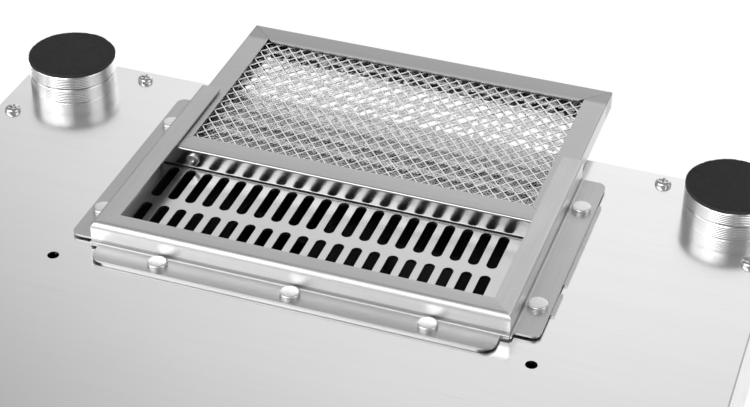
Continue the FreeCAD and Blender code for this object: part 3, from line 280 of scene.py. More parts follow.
def panel_finish():
    """The base's sheet: nearly plain, with painted shade and a slightly rougher face between the
    rails.
    """
    made, net, ends, place = new_finish("bottom_panel_stainless", Metallic=1.0)
    parts = net.split(place)
    lines = net.group(BRUSHING, Place=place, Along=ALONG_X)
    marks = net.group(HANDLING, Place=place, Size=1.0)
    left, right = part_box("filter_rail_left")[0].x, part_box("filter_rail_right")[1].x
    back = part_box("filter_rail_stop")[1].y
    low, high = Vector((left, -1, -1)), Vector((right, back, 1))
    # painted shade: the sheet's colour is darker between the rails; it is also a little rougher
    # there
    between = within(net, parts, low, high, RAIL_DEEP)
    base = net.blend(between, grey(0.87), grey(0.70))
    drawn = net.blend(net.span(lines["Grain"], *USUAL, 0.0, 0.05), base, grey(0.5))
    aged = net.blend(net.span(marks["Patches"], *PATCHY, 0.0, 0.06), drawn, grey(0.5))
    scuffed = net.math("MULTIPLY", marks["Scuffs"], 0.05)
    net.put(ends["Base Color"], net.blend(scuffed, aged, grey(0.45)))
    rough = net.span(lines["Streak"], *USUAL, 0.175, 0.205)
    net.put(ends["Roughness"], net.math("ADD", rough, net.math("MULTIPLY", between, 0.05)))
    relief(net, ends, lines["Grain"], 0.04, SCRATCH_MM)
    return made


def rail_finish(name, face, wall, rough, along, seat_shade_share=0.9):
    """Folded rail sheet with handled dull patches: its lip keeps the sheet's tone, its walls get a
    painted highlight, and its flange against the panel a painted shade.
    """
    made, net, ends, place = new_finish(name, Metallic=1.0)
    low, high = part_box("filter_rail_stop")
    lines = net.group(BRUSHING, Place=place, Along=along)
    marks = net.group(HANDLING, Place=place, Size=2.0)
    height = net.split(place)["Z"]
    # painted highlight on the walls above the lip, painted shade on the flange against the panel
    inner = net.span(height, low.z + LIP_BEND[0], low.z + LIP_BEND[1], soft=True)
    seat_shade = net.span(height, high.z - SEAT_BEND[0], high.z - SEAT_BEND[1], soft=True)
    level = net.blend(seat_shade, net.blend(inner, face, wall), tinted(face, seat_shade_share))
    drawn = net.blend(net.span(lines["Grain"], *USUAL, 0.0, 0.12), level, grey(0.3))
    dull = net.math("MULTIPLY", marks["Patches"], 0.1)
    net.put(ends["Base Color"], net.blend(dull, drawn, grey(0.35)))
    net.put(ends["Roughness"], net.span(marks["Patches"], *USUAL, rough - 0.03, rough + 0.05))
    relief(net, ends, lines["Grain"], 0.1, SCRATCH_MM)
    return made


# where the front bar's painted shade and the rear bar's painted highlight start and are full, from
# the frame's front and rear ends
FRONT_BAR, REAR_BAR = (14.2 * MM, 12.0 * MM), (12.4 * MM, 11.6 * MM)
REAR_WALL = (1.0 * MM, 0.4 * MM)
# faces lying more than this inside the frame's box carry painted shade
FRAME_SKIN = 0.4 * MM
WAVES_PER_M, WAVES_OVER_GRAIN = 110.0, 14.0


def filter_frame_finish():
    """Roll-formed aluminium: painted shade on the front bar and inside the channels, a painted
    highlight on the rear bar, and a glossy rear outer wall.
    """
    made, net, ends, place = new_finish("filter_frame_aluminium", Metallic=1.0)
    low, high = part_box("filter_frame")
    parts = net.split(place)
    lines = net.group(BRUSHING, Place=place, Along=(40, 1100, 1100))
    marks = net.group(HANDLING, Place=place, Size=2.0)
    # painted highlight on the rear bar, painted shade on the front bar
    rear_bar_highlight = net.span(parts["Y"], high.y - REAR_BAR[0], high.y - REAR_BAR[1])
    front_bar_shade = net.span(parts["Y"], low.y + FRONT_BAR[0], low.y + FRONT_BAR[1])
    wall = net.span(parts["Y"], high.y - REAR_WALL[0], high.y - REAR_WALL[1])
    level = net.blend(front_bar_shade, grey(0.60), grey(0.43))
    level = net.blend(rear_bar_highlight, level, grey(0.63))
    level = net.blend(wall, level, grey(0.60))
    # painted shade on the faces inside the frame's box
    level = net.blend(within(net, parts, low, high, FRAME_SKIN), level, grey(0.32))
    drawn = net.blend(net.span(lines["Grain"], *USUAL, 0.0, 0.12), level, grey(0.2))
    dull = net.math("MULTIPLY", marks["Patches"], 0.08)
    net.put(ends["Base Color"], net.blend(dull, drawn, grey(0.3)))
    net.put(ends["Roughness"], net.span(wall, 0.0, 1.0, 0.4, 0.21))
    wavy = net.math("MULTIPLY", net.noise(place, WAVES_PER_M, 1.0),
                    net.math("MULTIPLY", wall, WAVES_OVER_GRAIN))
    relief(net, ends, net.math("ADD", lines["Grain"], wavy), 0.5, SCRATCH_MM)
    return made


def pad_finish():
    """Dense cut rubber with a fine pitted face and lint caught in it."""
    made, net, ends, place = new_finish("cut_rubber", Specular_IOR_Level=0.25)
    grain = net.group(GRIT, Place=place, Size=1900.0)
    marks = net.group(HANDLING, Place=place, Size=5.0)
    base = net.blend(net.span(grain["Grit"], *MIDDLE), grey(0.032), grey(0.058))
    cloudy = net.blend(net.span(marks["Patches"], *PATCHY, 0.0, 0.35), base, grey(0.06))
    specks = net.math("MULTIPLY", grain["Specks"], 0.25)
    net.put(ends["Base Color"], net.blend(specks, cloudy, grey(0.13)))
    net.put(ends["Roughness"], net.span(grain["Grit"], *USUAL, 0.78, 0.95))
    relief(net, ends, grain["Grit"], 0.6, 0.25)
    return made


def wool_finish():
    """Pressed mineral fibre, with its layers lying flat."""
    made, net, ends, place = new_finish("pressed_mineral_wool", Roughness=0.95, Sheen_Weight=0.3)
    lines = net.group(BRUSHING, Place=place, Along=(240, 900, 520))
    grain = net.group(GRIT, Place=place, Size=900.0)
    base = net.blend(net.span(lines["Grain"], *USUAL),
                     rgb(0.62, 0.58, 0.46), rgb(0.86, 0.83, 0.74))
    specks = net.math("MULTIPLY", grain["Specks"], 0.3)
    net.put(ends["Base Color"], net.blend(specks, base, rgb(0.5, 0.42, 0.3)))
    relief(net, ends, lines["Grain"], 0.7, 0.8)
    return made


def board_finish():
    """Solder mask with lighter copper runs under it and tinned spots."""
    made, net, ends, place = new_finish("green_circuit_board", Coat_Weight=0.3)
    runs = net.node("ShaderNodeTexBrick", {
        "Vector": place, "Scale": 140.0, "Mortar Size": 0.05,
        "Color1": grey(0.0), "Color2": grey(0.25), "Mortar": grey(1.0)})
    grain = net.group(GRIT, Place=place, Size=420.0)
    mask = net.blend(runs.outputs["Color"], rgb(0.012, 0.11, 0.05), rgb(0.03, 0.24, 0.12))
    net.put(ends["Base Color"], net.blend(grain["Specks"], mask, rgb(0.6, 0.6, 0.58)))
    net.put(ends["Metallic"], grain["Specks"])
    net.put(ends["Roughness"], net.span(grain["Grit"], *USUAL, 0.3, 0.42))
    relief(net, ends, runs.outputs["Color"], 0.3, 0.1)
    return made


def glass_finish(name, colour, rough, clear):
    """Clear glass with a trace of haze and dust."""
    made, net, ends, place = new_finish(name, Transmission_Weight=clear, IOR=1.47)
    marks = net.group(HANDLING, Place=place, Size=4.0)
    hazy = net.span(marks["Patches"], 0.4, 0.75, 0.0, 0.4)
    net.put(ends["Base Color"], net.blend(hazy, colour, tinted(colour, 0.8)))
    net.put(ends["Roughness"], net.span(marks["Patches"], 0.4, 0.75, rough, rough + 0.1))
    return made


def mesh_metal(name, colour, rough, metal=1.0):
    """Bright wire or slit sheet: slightly uneven along each strand."""
    made, net, ends, place = new_finish(name, Metallic=metal)
    grain = net.group(GRIT, Place=place, Size=420.0)
    uneven = net.span(grain["Grit"], *MIDDLE)
    net.put(ends["Base Color"], net.blend(uneven, tinted(colour, 0.8), tinted(colour, 1.1)))
    net.put(ends["Roughness"], net.span(grain["Grit"], *MIDDLE, rough - 0.06, rough + 0.1))
    relief(net, ends, grain["Grit"], 0.4, 0.1)
    return made


def core_back_finish():
    """The core's upper layer: bright clear of the base, and darker with painted shade where the
    base is over it.
    """
    made, net, ends, place = new_finish("crimped_mesh_shaded", Metallic=1.0)
    grain = net.group(GRIT, Place=place, Size=420.0)
    low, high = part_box("filter_media")
    start, full = low.y * 0.6 + high.y * 0.4, low.y * 0.5 + high.y * 0.5
    # painted shade: darker from the middle of the media towards the rear, where the base is over it
    shade_under_base = net.span(net.split(place)["Y"], start, full)
    base = net.blend(shade_under_base, grey(0.92), grey(0.7))
    shade = net.span(grain["Grit"], *MIDDLE, 0.0, 0.25)
    net.put(ends["Base Color"], net.blend(shade, base, grey(0.3)))
    net.put(ends["Roughness"], net.span(grain["Grit"], *MIDDLE, 0.4, 0.55))
    relief(net, ends, grain["Grit"], 0.4, 0.1)
    return made


KEY_PLASTIC = (0.3, 2600.0, 0.06, 0.05, 0.4)  # roughness, grain, relief, specks and coat
FINISHES = {
    "stainless_sheet": sheet_metal("brushed_stainless", grey(0.56), 0.27, ALONG_X, 0.06, 0.1),
    "galvanised_sheet": sheet_metal("satin_steel", grey(0.56), 0.34, ALONG_X, 0.06, 0.1),
    "liner_steel": sheet_metal("heat_tinted_liner", rgb(0.66, 0.62, 0.54), 0.3, ALONG_Y,
                               0.06, 0.35),
    "rivet_aluminium": sheet_metal("rivet_aluminium", grey(0.86), 0.3, (600, 600, 600),
                                   0.06, 0.1, bump=0.3),
    "screw_steel": sheet_metal("bright_plated_steel", grey(0.74), 0.16, (500, 500, 500),
                               0.05, 0.1, bump=0.05),
    "turned_aluminium": turned_finish("turned_aluminium", grey(0.82), 0.15),
    "pad_rubber": pad_finish(),
    "filter_aluminium": filter_frame_finish(),
    "black_plastic": moulded("black_moulded_plastic", grey(0.022), 0.55),
    "circuit_board": board_finish(),
    "heatsink_aluminium": sheet_metal("extruded_aluminium", grey(0.62), 0.34, ALONG_Z, 0.08, 0.1),
    "mineral_wool": wool_finish(),
    "quartz": glass_finish("quartz_tube", rgb(0.97, 0.97, 0.96), 0.05, 0.9),
    "ceramic": moulded("unglazed_ceramic", rgb(0.80, 0.77, 0.70), 0.7, 1500.0, 0.3),
    "blower_steel": moulded("satin_grey_paint", rgb(0.12, 0.125, 0.13), 0.42, 1400.0, 0.15,
                            specks=0.1, coat=0.2),
    "window_glass": glass_finish("tinted_window_glass", rgb(0.55, 0.58, 0.57), 0.02, 0.85),
    "seal_silicone": moulded("red_brown_silicone", rgb(0.30, 0.05, 0.03), 0.6, 1800.0),
    "polished_steel": sheet_metal("polished_tube", grey(0.82), 0.1, ALONG_X, 0.02, 0.04,
                                  bump=0.04, uneven=0.03),
    "panel_black": moulded("satin_black_panel", grey(0.018), 0.38, 3000.0, 0.08, 0.05, 0.15),
    "knob_aluminium": turned_finish("spun_knob_aluminium", grey(0.42), 0.26),
    "button_green": moulded("green_key", rgb(0.02, 0.24, 0.06), *KEY_PLASTIC),
    "button_grey": moulded("grey_key", rgb(0.19, 0.2, 0.21), *KEY_PLASTIC),
    "button_red": moulded("red_key", rgb(0.42, 0.02, 0.015), *KEY_PLASTIC),
}
OWN_FINISHES = {
    "bottom_panel": panel_finish(),
    # each rail: the sheet's tone, the walls' painted highlight, roughness and grain direction
    "filter_rail_left": rail_finish("rail_steel_left", grey(0.66), grey(0.95), 0.42, ALONG_Y),
    "filter_rail_right": rail_finish("rail_steel_right", grey(0.68), grey(1.0), 0.36, ALONG_Y),
    "filter_rail_stop": rail_finish("rail_steel_crosswise", grey(0.68), grey(1.0), 0.42, ALONG_X,
                                    seat_shade_share=0.8),
    "upper_cover": sheet_metal("cover_stainless", grey(0.54), 0.28, ALONG_Y, 0.06, 0.1),
    # painted shade: the plenum is made near-black, and the cooling fan's black plastic darker than
    # the black plastic elsewhere, for the shade inside the oven
    "air_plenum": moulded("plenum_painted_shade", grey(0.003), 0.85, specks=0.01),
    "cooling_fan_frame": moulded("fan_frame_black_painted_shade", grey(0.003), 0.8, specks=0.01),
    "cooling_fan_rotor": moulded("fan_rotor_black_painted_shade", grey(0.004), 0.7, specks=0.01),
}


# ---- carried-over parts ----
CREASE = 32  # degrees: sharper edges stay edges


def dress(node, part):
    """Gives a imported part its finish, and smooth shading that still breaks at real edges."""
    part.data.materials.clear()
    part.data.materials.append(OWN_FINISHES.get(node) or FINISHES[SLOT_OF[node]])
    for face in part.data.polygons:
        face.use_smooth = True
    weld = part.modifiers.new("joined_edges", "WELD")
    weld.merge_threshold = WELD_AT
    split = part.modifiers.new("real_edges", "EDGE_SPLIT")
    split.split_angle = math.radians(CREASE)


# ---- new pieces ----
def finish_piece(bm, name, body, finish, replaces=(), crease=CREASE):
    """Turns a bmesh into a piece: doubles merged, faces outward, shaded, and riding on its body."""
    bmesh.ops.remove_doubles(bm, verts=bm.verts, dist=DOUBLE_AT)
    bmesh.ops.recalc_face_normals(bm, faces=bm.faces)
    place_piece(bm, name, body, finish, replaces, crease)


def place_piece(bm, name, body, finish, replaces, crease):
    mesh = bpy.data.meshes.new(name)
    bm.to_mesh(mesh)
    bm.free()
    piece = bpy.data.objects.new(name, mesh)
    bpy.context.scene.collection.objects.link(piece)
    mesh.materials.append(finish)
    mesh.shade_smooth()
    mesh.set_sharp_from_angle(angle=math.radians(crease))
    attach(piece, body)
    if replaces:
        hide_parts(*replaces)


def spun(outline, centre):
    """A solid turned about the vertical, from its half outline of (radius, height) points."""
    bm = bmesh.new()
    verts = [bm.verts.new((centre.x + r, centre.y, z)) for r, z in outline]
    edges = [bm.edges.new(pair) for pair in zip(verts, verts[1:] + verts[:1])
             if any(end.co.x - centre.x >= ON_AXIS for end in pair)]
    bmesh.ops.spin(bm, geom=verts + edges, cent=(centre.x, centre.y, 0), axis=(0, 0, 1),
                   dvec=(0, 0, 0), angle=2 * math.pi, steps=FOOT_STEPS, use_merge=True,
                   use_duplicate=False)
    bmesh.ops.remove_doubles(bm, verts=bm.verts, dist=SAME_AT)
    loose = [edge for edge in bm.edges if not edge.link_faces]
    bmesh.ops.delete(bm, geom=loose, context="EDGES")
    return bm


# ---- the feet ----
FOOT_R, FOOT_RIM, FOOT_STEPS = 22.5 * MM, 0.25 * MM, 144
GROOVE_PITCH, GROOVE_DEEP = 0.98 * MM, 0.09 * MM
STUD_R, STUD_RIM, RING_BORE, CAP_GAP = 4.0 * MM, 0.5 * MM, 4.4 * MM, 0.3 * MM
PAD_TRIM, PAD_RINGS, PAD_SEED_STEP = 0.1 * MM, 12, 7.3
PAD_WAVES, PAD_NICKS, PAD_NICKS_PER_M = 2.2, 21, 900  # how quickly the cut wanders
WAVE_MM, NICK_MM, SPARED_MM = 0.55, 0.3, 0.2


def foot_side(low, high):
    """The outer side of a foot's ring or cap: fine V grooves between chamfered rims."""
    points = [(FOOT_R - FOOT_RIM, low), (FOOT_R, low + FOOT_RIM)]
    z = low + FOOT_RIM + GROOVE_PITCH * 0.6
    while z + GROOVE_PITCH * 0.4 < high - FOOT_RIM:
        points += [(FOOT_R, z), (FOOT_R - GROOVE_DEEP, z + GROOVE_PITCH * 0.25),
                   (FOOT_R, z + GROOVE_PITCH * 0.5)]
        z += GROOVE_PITCH
    return points + [(FOOT_R, high - FOOT_RIM), (FOOT_R - FOOT_RIM, high)]


def foot_centre(place):
    low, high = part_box("foot_pad_" + place)
    return (low + high) / 2


def foot_rings():
    """The fixed halves of the four feet, as one piece against the panel."""
    low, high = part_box("foot_rings")
    outline = [(RING_BORE, low.z)] + foot_side(low.z, high.z) + [(RING_BORE, high.z)]
    whole = bmesh.new()
    for place in FEET:
        one = spun(outline, foot_centre(place))
        mesh = bpy.data.meshes.new("one_ring")
        one.to_mesh(mesh)
        one.free()
        whole.from_mesh(mesh)
        bpy.data.meshes.remove(mesh)
    finish_piece(whole, "turned_foot_rings", "oven",
                 FINISHES["turned_aluminium"], ["foot_rings"])


def foot_cap(place):
    """The lower half of a foot, with the stud that it levels on."""
    name = "foot_cap_" + place
    low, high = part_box(name)
    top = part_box("foot_rings")[0].z - CAP_GAP
    outline = [(0, low.z)] + foot_side(low.z, top) + [
        (STUD_R, top), (STUD_R, high.z - STUD_RIM), (STUD_R - STUD_RIM, high.z), (0, high.z)]
    finish_piece(spun(outline, foot_centre(place)), "turned_" + name, "foot_" + place,
                 FINISHES["turned_aluminium"], [name])


def foot_pad(place, seed):
    """A rubber disc cut by hand, so its rim is not quite round."""
    name = "foot_pad_" + place
    low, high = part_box(name)
    centre = foot_centre(place)
    radius = (high.x - low.x) / 2 - PAD_TRIM
    outline = [(0, low.z)] + [(radius * n / PAD_RINGS, low.z) for n in range(1, PAD_RINGS)]
    outline += [(radius - 0.3 * MM, low.z), (radius, low.z + 0.35 * MM),
                (radius - 0.1 * MM, low.z + 0.9 * MM), (radius - 0.05 * MM, high.z),
                (radius * 0.5, high.z), (0, high.z)]
    bm = spun(outline, centre)
    for vert in bm.verts:
        arm = Vector((vert.co.x - centre.x, vert.co.y - centre.y))
        if arm.length > radius * 0.9:
            turn = math.atan2(arm.y, arm.x)
            x, y = math.cos(turn), math.sin(turn)
            wave = noise.noise(Vector((x * PAD_WAVES, y * PAD_WAVES, seed)))
            nick = noise.noise(Vector((x * PAD_NICKS, y * PAD_NICKS,
                                       seed + vert.co.z * PAD_NICKS_PER_M)))
            arm *= 1 + min(0.0, (wave * WAVE_MM + nick * NICK_MM - SPARED_MM) * MM / radius)
            vert.co.x, vert.co.y = centre.x + arm.x, centre.y + arm.y
    finish_piece(bm, "cut_" + name, "foot_" + place, FINISHES["pad_rubber"], [name],
                 crease=50)


# ---- the filter's mesh and core ----
SLIVER, WHOLE_CELL = 0.12, 0.98  # shares of a full cell's area


def diamond_grid(low, high, pitch_x, pitch_y):
    """A flat sheet of diamond cells over a rectangle, cut off at its edges."""
    width, depth = high.x - low.x, high.y - low.y
    cells = 2 * (int((width / pitch_x + depth / pitch_y) / 2) + 2)
    bm = bmesh.new()
    bmesh.ops.create_grid(bm, x_segments=cells, y_segments=cells, size=cells / 2)
    bmesh.ops.rotate(bm, verts=bm.verts, cent=(0, 0, 0),
                     matrix=Matrix.Rotation(math.pi / 4, 3, "Z"))
    bmesh.ops.scale(bm, verts=bm.verts, vec=(pitch_x / math.sqrt(2), pitch_y / math.sqrt(2), 1))
    bmesh.ops.translate(bm, verts=bm.verts, vec=((low.x + high.x) / 2, (low.y + high.y) / 2, 0))
    for point, normal in (((low.x, 0, 0), (-1, 0, 0)), ((high.x, 0, 0), (1, 0, 0)),
                          ((0, low.y, 0), (0, -1, 0)), ((0, high.y, 0), (0, 1, 0))):
        bmesh.ops.bisect_plane(bm, geom=bm.verts[:] + bm.edges[:] + bm.faces[:], plane_co=point,
                               plane_no=normal, clear_outer=True)
    return bm


def strands(bm, full_cell, width, thick):
    """Leaves only the cell walls, as flat strands. Slivers at the cut edges are dropped."""
    slivers = [f for f in bm.faces if f.calc_area() < full_cell * SLIVER]
    bmesh.ops.delete(bm, geom=slivers, context="FACES")
    whole = [f for f in bm.faces if f.calc_area() > full_cell * WHOLE_CELL]
    cut = [f for f in bm.faces if f.calc_area() <= full_cell * WHOLE_CELL]
    for cells, even in ((whole, True), (cut, False)):
        bmesh.ops.inset_individual(bm, faces=cells, thickness=width / 2, depth=0.0,
                                   use_even_offset=even)
    bmesh.ops.delete(bm, geom=whole + cut, context="FACES_ONLY")
    grown = bmesh.ops.extrude_face_region(bm, geom=bm.faces[:])
    moved = [item for item in grown["geom"] if isinstance(item, bmesh.types.BMVert)]
    bmesh.ops.translate(bm, verts=moved, vec=(0, 0, thick))
    bmesh.ops.recalc_face_normals(bm, faces=bm.faces)


MESH_PITCH_X, MESH_PITCH_Y = 6.7 * MM, 7.73 * MM
MESH_STRAND, MESH_THICK, MESH_TWIST = 0.55 * MM, 0.35 * MM, 0.22 * MM
MESH_INSET = 0.47 * MM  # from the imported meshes' outer faces to a sheet's middle
UNEVEN_MM, UNEVEN_PER_M = 0.06, 700.0
EXPANDED = mesh_metal("expanded_aluminium", grey(0.92), 0.2)


def expanded_face(name, z, twist, replaces=()):
    """Slit and stretched sheet: its crossings stand a little out of its plane."""
    low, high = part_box("filter_meshes")
    middle = (low + high) / 2
    bm = diamond_grid(low, high, MESH_PITCH_X, MESH_PITCH_Y)
    strands(bm, MESH_PITCH_X * MESH_PITCH_Y / 2, MESH_STRAND, MESH_THICK)
    long_edges = [e for e in bm.edges if e.calc_length() > MESH_PITCH_X * 0.4]
    bmesh.ops.subdivide_edges(bm, edges=long_edges, cuts=1)
    for vert in bm.verts:
        at = Vector((vert.co.x, vert.co.y, 0))
        across = math.cos(2 * math.pi * (at.x - middle.x) / MESH_PITCH_X)
        along = math.cos(2 * math.pi * (at.y - middle.y) / MESH_PITCH_Y)
        uneven = noise.noise(at * UNEVEN_PER_M) * UNEVEN_MM * MM
        vert.co.z += z - MESH_THICK / 2 + twist * across * along + uneven
    place_piece(bm, name, "filter", EXPANDED, replaces, 35)


CORE_CELL = (2.6 * MM, 2.0 * MM)
CORE_STRANDS, CORE_THICK = (0.86 * MM, 0.56 * MM), 0.12 * MM
CORE_SWELL, SWELL_RISE = (0.6 * MM, 0.2 * MM), 3
CORE_SEED = 3.1
# how far the media's edge lies inside the frame, at the side and at the front
EDGE_SIDE, EDGE_FRONT = 12.8 * MM, 10.5 * MM
# the pattern: ridges along x with ties between them, and how unevenly they run
QUILT_X, QUILT_Y = 11.2 * MM, 1.5 * MESH_PITCH_Y
WIDE_WANDER, FINE_WANDER, TIE_WANDER, ROW_SHIFT = 0.10, 0.05, 2.5, 0.37
TIE_FAR, TIE_NEAR = 0.92, 0.5
OPEN_BELOW, WIDER_FAR = 0.72, 0.13
FAR_FROM, FAR_OVER = 0.38, 0.15  # the far half, as shares of the frame's depth from the rear
CRUMPLE_MM, CRUMPLE_PER_M, CRUMPLE_SEED = (0.7, 0.6, 0.5), 330.0, 5
LOWER_DROP, LAYER_STEP = 1.4 * MM, 0.9 * MM
LAYER_LEAN = (-0.48 * LAYER_STEP, -1.47 * LAYER_STEP)
CORE = mesh_metal("crimped_aluminium_mesh", grey(0.97), 0.5, 0.5)
CORE_BACK = core_back_finish()


def quilt(x, y, far):
    """How nearly a point of the core lies on a ridge, and on a tie: 1 is right on it."""
    wide = noise.noise(Vector((x * 30, y * 45, CORE_SEED))) * WIDE_WANDER
    fine = noise.noise(Vector((x * 420, y * 420, CORE_SEED))) * FINE_WANDER
    row = y / QUILT_Y + wide + fine
    column = x / QUILT_X + ROW_SHIFT * math.floor(row + 0.5) + TIE_WANDER * wide + fine
    band = 0.5 + 0.5 * math.cos(2 * math.pi * row)
    tie = (0.5 + 0.5 * math.cos(2 * math.pi * column)) * (TIE_FAR * far + TIE_NEAR * (1 - far))
    return band, tie


def core_layer(name, level, strand, swell, offset, closed_near, finish, replaces=()):
    """One layer of fine crimped mesh, pressed into ridges with open pockets between them."""
    low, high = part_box("filter_media")
    frame_low, frame_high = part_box("filter_frame")
    low = Vector((frame_low.x + EDGE_SIDE, frame_low.y + EDGE_FRONT, low.z))
    bm = diamond_grid(low, high, *CORE_CELL)

    def pattern(point):
        share = (frame_high.y - point.y) / (frame_high.y - frame_low.y)
        far = min(max((share - FAR_FROM) / FAR_OVER, 0.0), 1.0)
        band, tie = quilt(point.x - offset[0], point.y - offset[1], far)
        return band - WIDER_FAR * far, tie - WIDER_FAR * far, closed_near * (1 - far)

    pockets = [cell for cell in bm.faces if max(pattern(cell.calc_center_median())) < OPEN_BELOW]
    bmesh.ops.delete(bm, geom=pockets, context="FACES")
    strands(bm, CORE_CELL[0] * CORE_CELL[1] / 2, strand, CORE_THICK)
    for vert in bm.verts:
        band = max(pattern(vert.co)[:2])
        crumple = noise.noise_vector(Vector((vert.co.x, vert.co.y, level * 2)) * CRUMPLE_PER_M)
        vert.co.x += crumple.x * CRUMPLE_MM[0] * MM
        vert.co.y += crumple.y * CRUMPLE_MM[1] * MM
        swollen = vert.co.z + level - swell * (band - OPEN_BELOW) * SWELL_RISE
        height = swollen + crumple.z * CRUMPLE_MM[2] * MM
        vert.co.z = min(max(height, low.z), high.z)
    place_piece(bm, name, "filter", finish, replaces, 60)


def filter_core():
    """Two layers: the lower one open all over, the upper one closed where the base is over it."""
    noise.seed_set(CRUMPLE_SEED)  # without it, noise_vector starts from the clock
    low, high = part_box("filter_media")
    level = (low.z + high.z) / 2 - LOWER_DROP
    core_layer("filter_core_lower", level, CORE_STRANDS[0], CORE_SWELL[0], (0, 0), 0.0, CORE,
               ["filter_media"])
    core_layer("filter_core_upper", level + LAYER_STEP, CORE_STRANDS[1], CORE_SWELL[1], LAYER_LEAN,
               1.0, CORE_BACK)


# ---- controls ----
SCREEN_LEFT, SCREEN_RIGHT, SCREEN_HALF_H = -97.3 * MM, -6.7 * MM, 16.3 * MM
GLASS_GAP, GLASS_THICK, GLASS_RIM = 0.02 * MM, 0.3 * MM, 0.1 * MM
LIT_GAP, LIT_PROUD, LIT_RIM = 0.01 * MM, 0.03 * MM, 0.005 * MM
AXIS_SIDE, AXIS_FOOT, CURVE_WIDE = 4 * MM, 3.5 * MM, 0.7 * MM
FINE_LINE, RING_LINE, BOLD_LINE = 0.35 * MM, 0.4 * MM, 0.6 * MM
# the heating curve, as (x, z) in mm from the screen's lower left corner
CURVE = ((6, 5), (22, 13), (42, 15.5), (50, 23), (54, 25.5), (58, 25), (66, 17), (80, 6))
CURVE_STEPS, CURVE_EASINGS = 6, 6
SIGN_RISE, SIGN_ARM, KEY_RING = 6.5 * MM, 2.2 * MM, 9.2 * MM
# the knob's scale: angles in degrees, every fifth mark long
SCALE_MARKS, SCALE_FROM, SCALE_STEP, LONG_EVERY = 21, 225, 13.5, 5
LONG_MARK, SHORT_MARK = (17.0 * MM, 20.6 * MM), (17.0 * MM, 18.8 * MM)
POINTER, POINTER_WIDE, POINTER_DEEP = (4.2 * MM, 10.8 * MM), 1.3 * MM, 0.79 * MM
RIM_ANGLE = 0.5


def ribbon(bm, path, width, closed=False):
    """A flat strip of even width along a path of (x, z) points."""
    sides = []
    for n, here in enumerate(path):
        before = path[n - 1] if closed or n else here
        after = path[(n + 1) % len(path)] if closed or n < len(path) - 1 else here
        along = Vector((after[0] - before[0], after[1] - before[1])).normalized()
        x, z = -along.y * width / 2, along.x * width / 2
        sides.append((bm.verts.new((here[0] + x, 0, here[1] + z)),
                      bm.verts.new((here[0] - x, 0, here[1] - z))))
    following = sides[1:] + sides[:1] if closed else sides[1:]
    for (left, right), (next_left, next_right) in zip(sides, following):
        bm.faces.new((left, right, next_right, next_left))


def patch(bm, outline):
    """A flat shape inside an outline of (x, z) points."""
    bm.faces.new([bm.verts.new((x, 0, z)) for x, z in outline])


def circle(x, z, radius, count=48):
    turns = [2 * math.pi * n / count for n in range(count)]
    return [(x + radius * math.cos(turn), z + radius * math.sin(turn)) for turn in turns]


def raised(bm, name, body, finish, face_y, proud, rim):
    """Makes flat shapes into a thin piece standing proud of a front face."""
    bmesh.ops.recalc_face_normals(bm, faces=bm.faces)
    grown = bmesh.ops.extrude_face_region(bm, geom=bm.faces[:])
    moved = [item for item in grown["geom"] if isinstance(item, bmesh.types.BMVert)]
    bmesh.ops.translate(bm, verts=moved, vec=(0, -proud, 0))
    bmesh.ops.translate(bm, verts=bm.verts[:], vec=(0, face_y, 0))
    front = [e for e in bm.edges
             if abs(sum(v.co.y for v in e.verts) / 2 - face_y + proud) < SAME_AT
             and e.calc_face_angle(0) > RIM_ANGLE]
    bmesh.ops.bevel(bm, geom=front, offset=rim, segments=1, profile=0.5, affect="EDGES",
                    material=-1)
    finish_piece(bm, name, body, finish)


def screen_finish():
    """Dark screen glass with a faint printed grid under it."""
    made, net, ends, place = new_finish("display_glass", Coat_Weight=0.6)
    parts = net.split(place)
    flat = net.node("ShaderNodeCombineXYZ", {"X": parts["X"], "Y": parts["Z"]}).outputs[0]
    grid = net.node("ShaderNodeTexBrick", {
        "Vector": flat, "Scale": 160.0, "Mortar Size": 0.025, "Brick Width": 1.0,
        "Row Height": 1.0, "Color1": grey(0), "Color2": grey(0), "Mortar": grey(1)}, offset=0.0)
    marks = net.group(HANDLING, Place=place, Size=6.0)
    base = net.blend(grid.outputs["Color"], rgb(0.004, 0.007, 0.012), rgb(0.03, 0.07, 0.09))
    scuffed = net.math("MULTIPLY", marks["Scuffs"], 0.2)
    net.put(ends["Base Color"], net.blend(scuffed, base, grey(0.1)))
    net.put(ends["Roughness"], net.span(marks["Patches"], *PATCHY, 0.1, 0.2))
    return made


def lit_finish(name, colour, strength):
    """Lit segments of the display, a little uneven."""
    made, net, ends, place = new_finish(name, Roughness=0.4, Emission_Strength=strength)
    grain = net.group(GRIT, Place=place, Size=3000.0)
    level = net.blend(net.span(grain["Grit"], *USUAL), tinted(colour, 0.85), colour)
    net.put(ends["Base Color"], level)
    net.put(ends["Emission Color"], level)
    return made


PRINT = moulded("white_print", grey(0.72), 0.55, 5000.0, 0.1, 0.05)


def smoothed(points):
    """The same path with eased corners."""
    path = []
    for (x0, z0), (x1, z1) in zip(points, points[1:]):
        for n in range(CURVE_STEPS):
            share = n / CURVE_STEPS
            path.append((x0 + (x1 - x0) * share, z0 + (z1 - z0) * share))
    path.append(points[-1])
    for _ in range(CURVE_EASINGS):
        path = [path[0]] + [tuple((a[k] + 2 * b[k] + c[k]) / 4 for k in (0, 1))
                            for a, b, c in zip(path, path[1:], path[2:])] + [path[-1]]
    return path


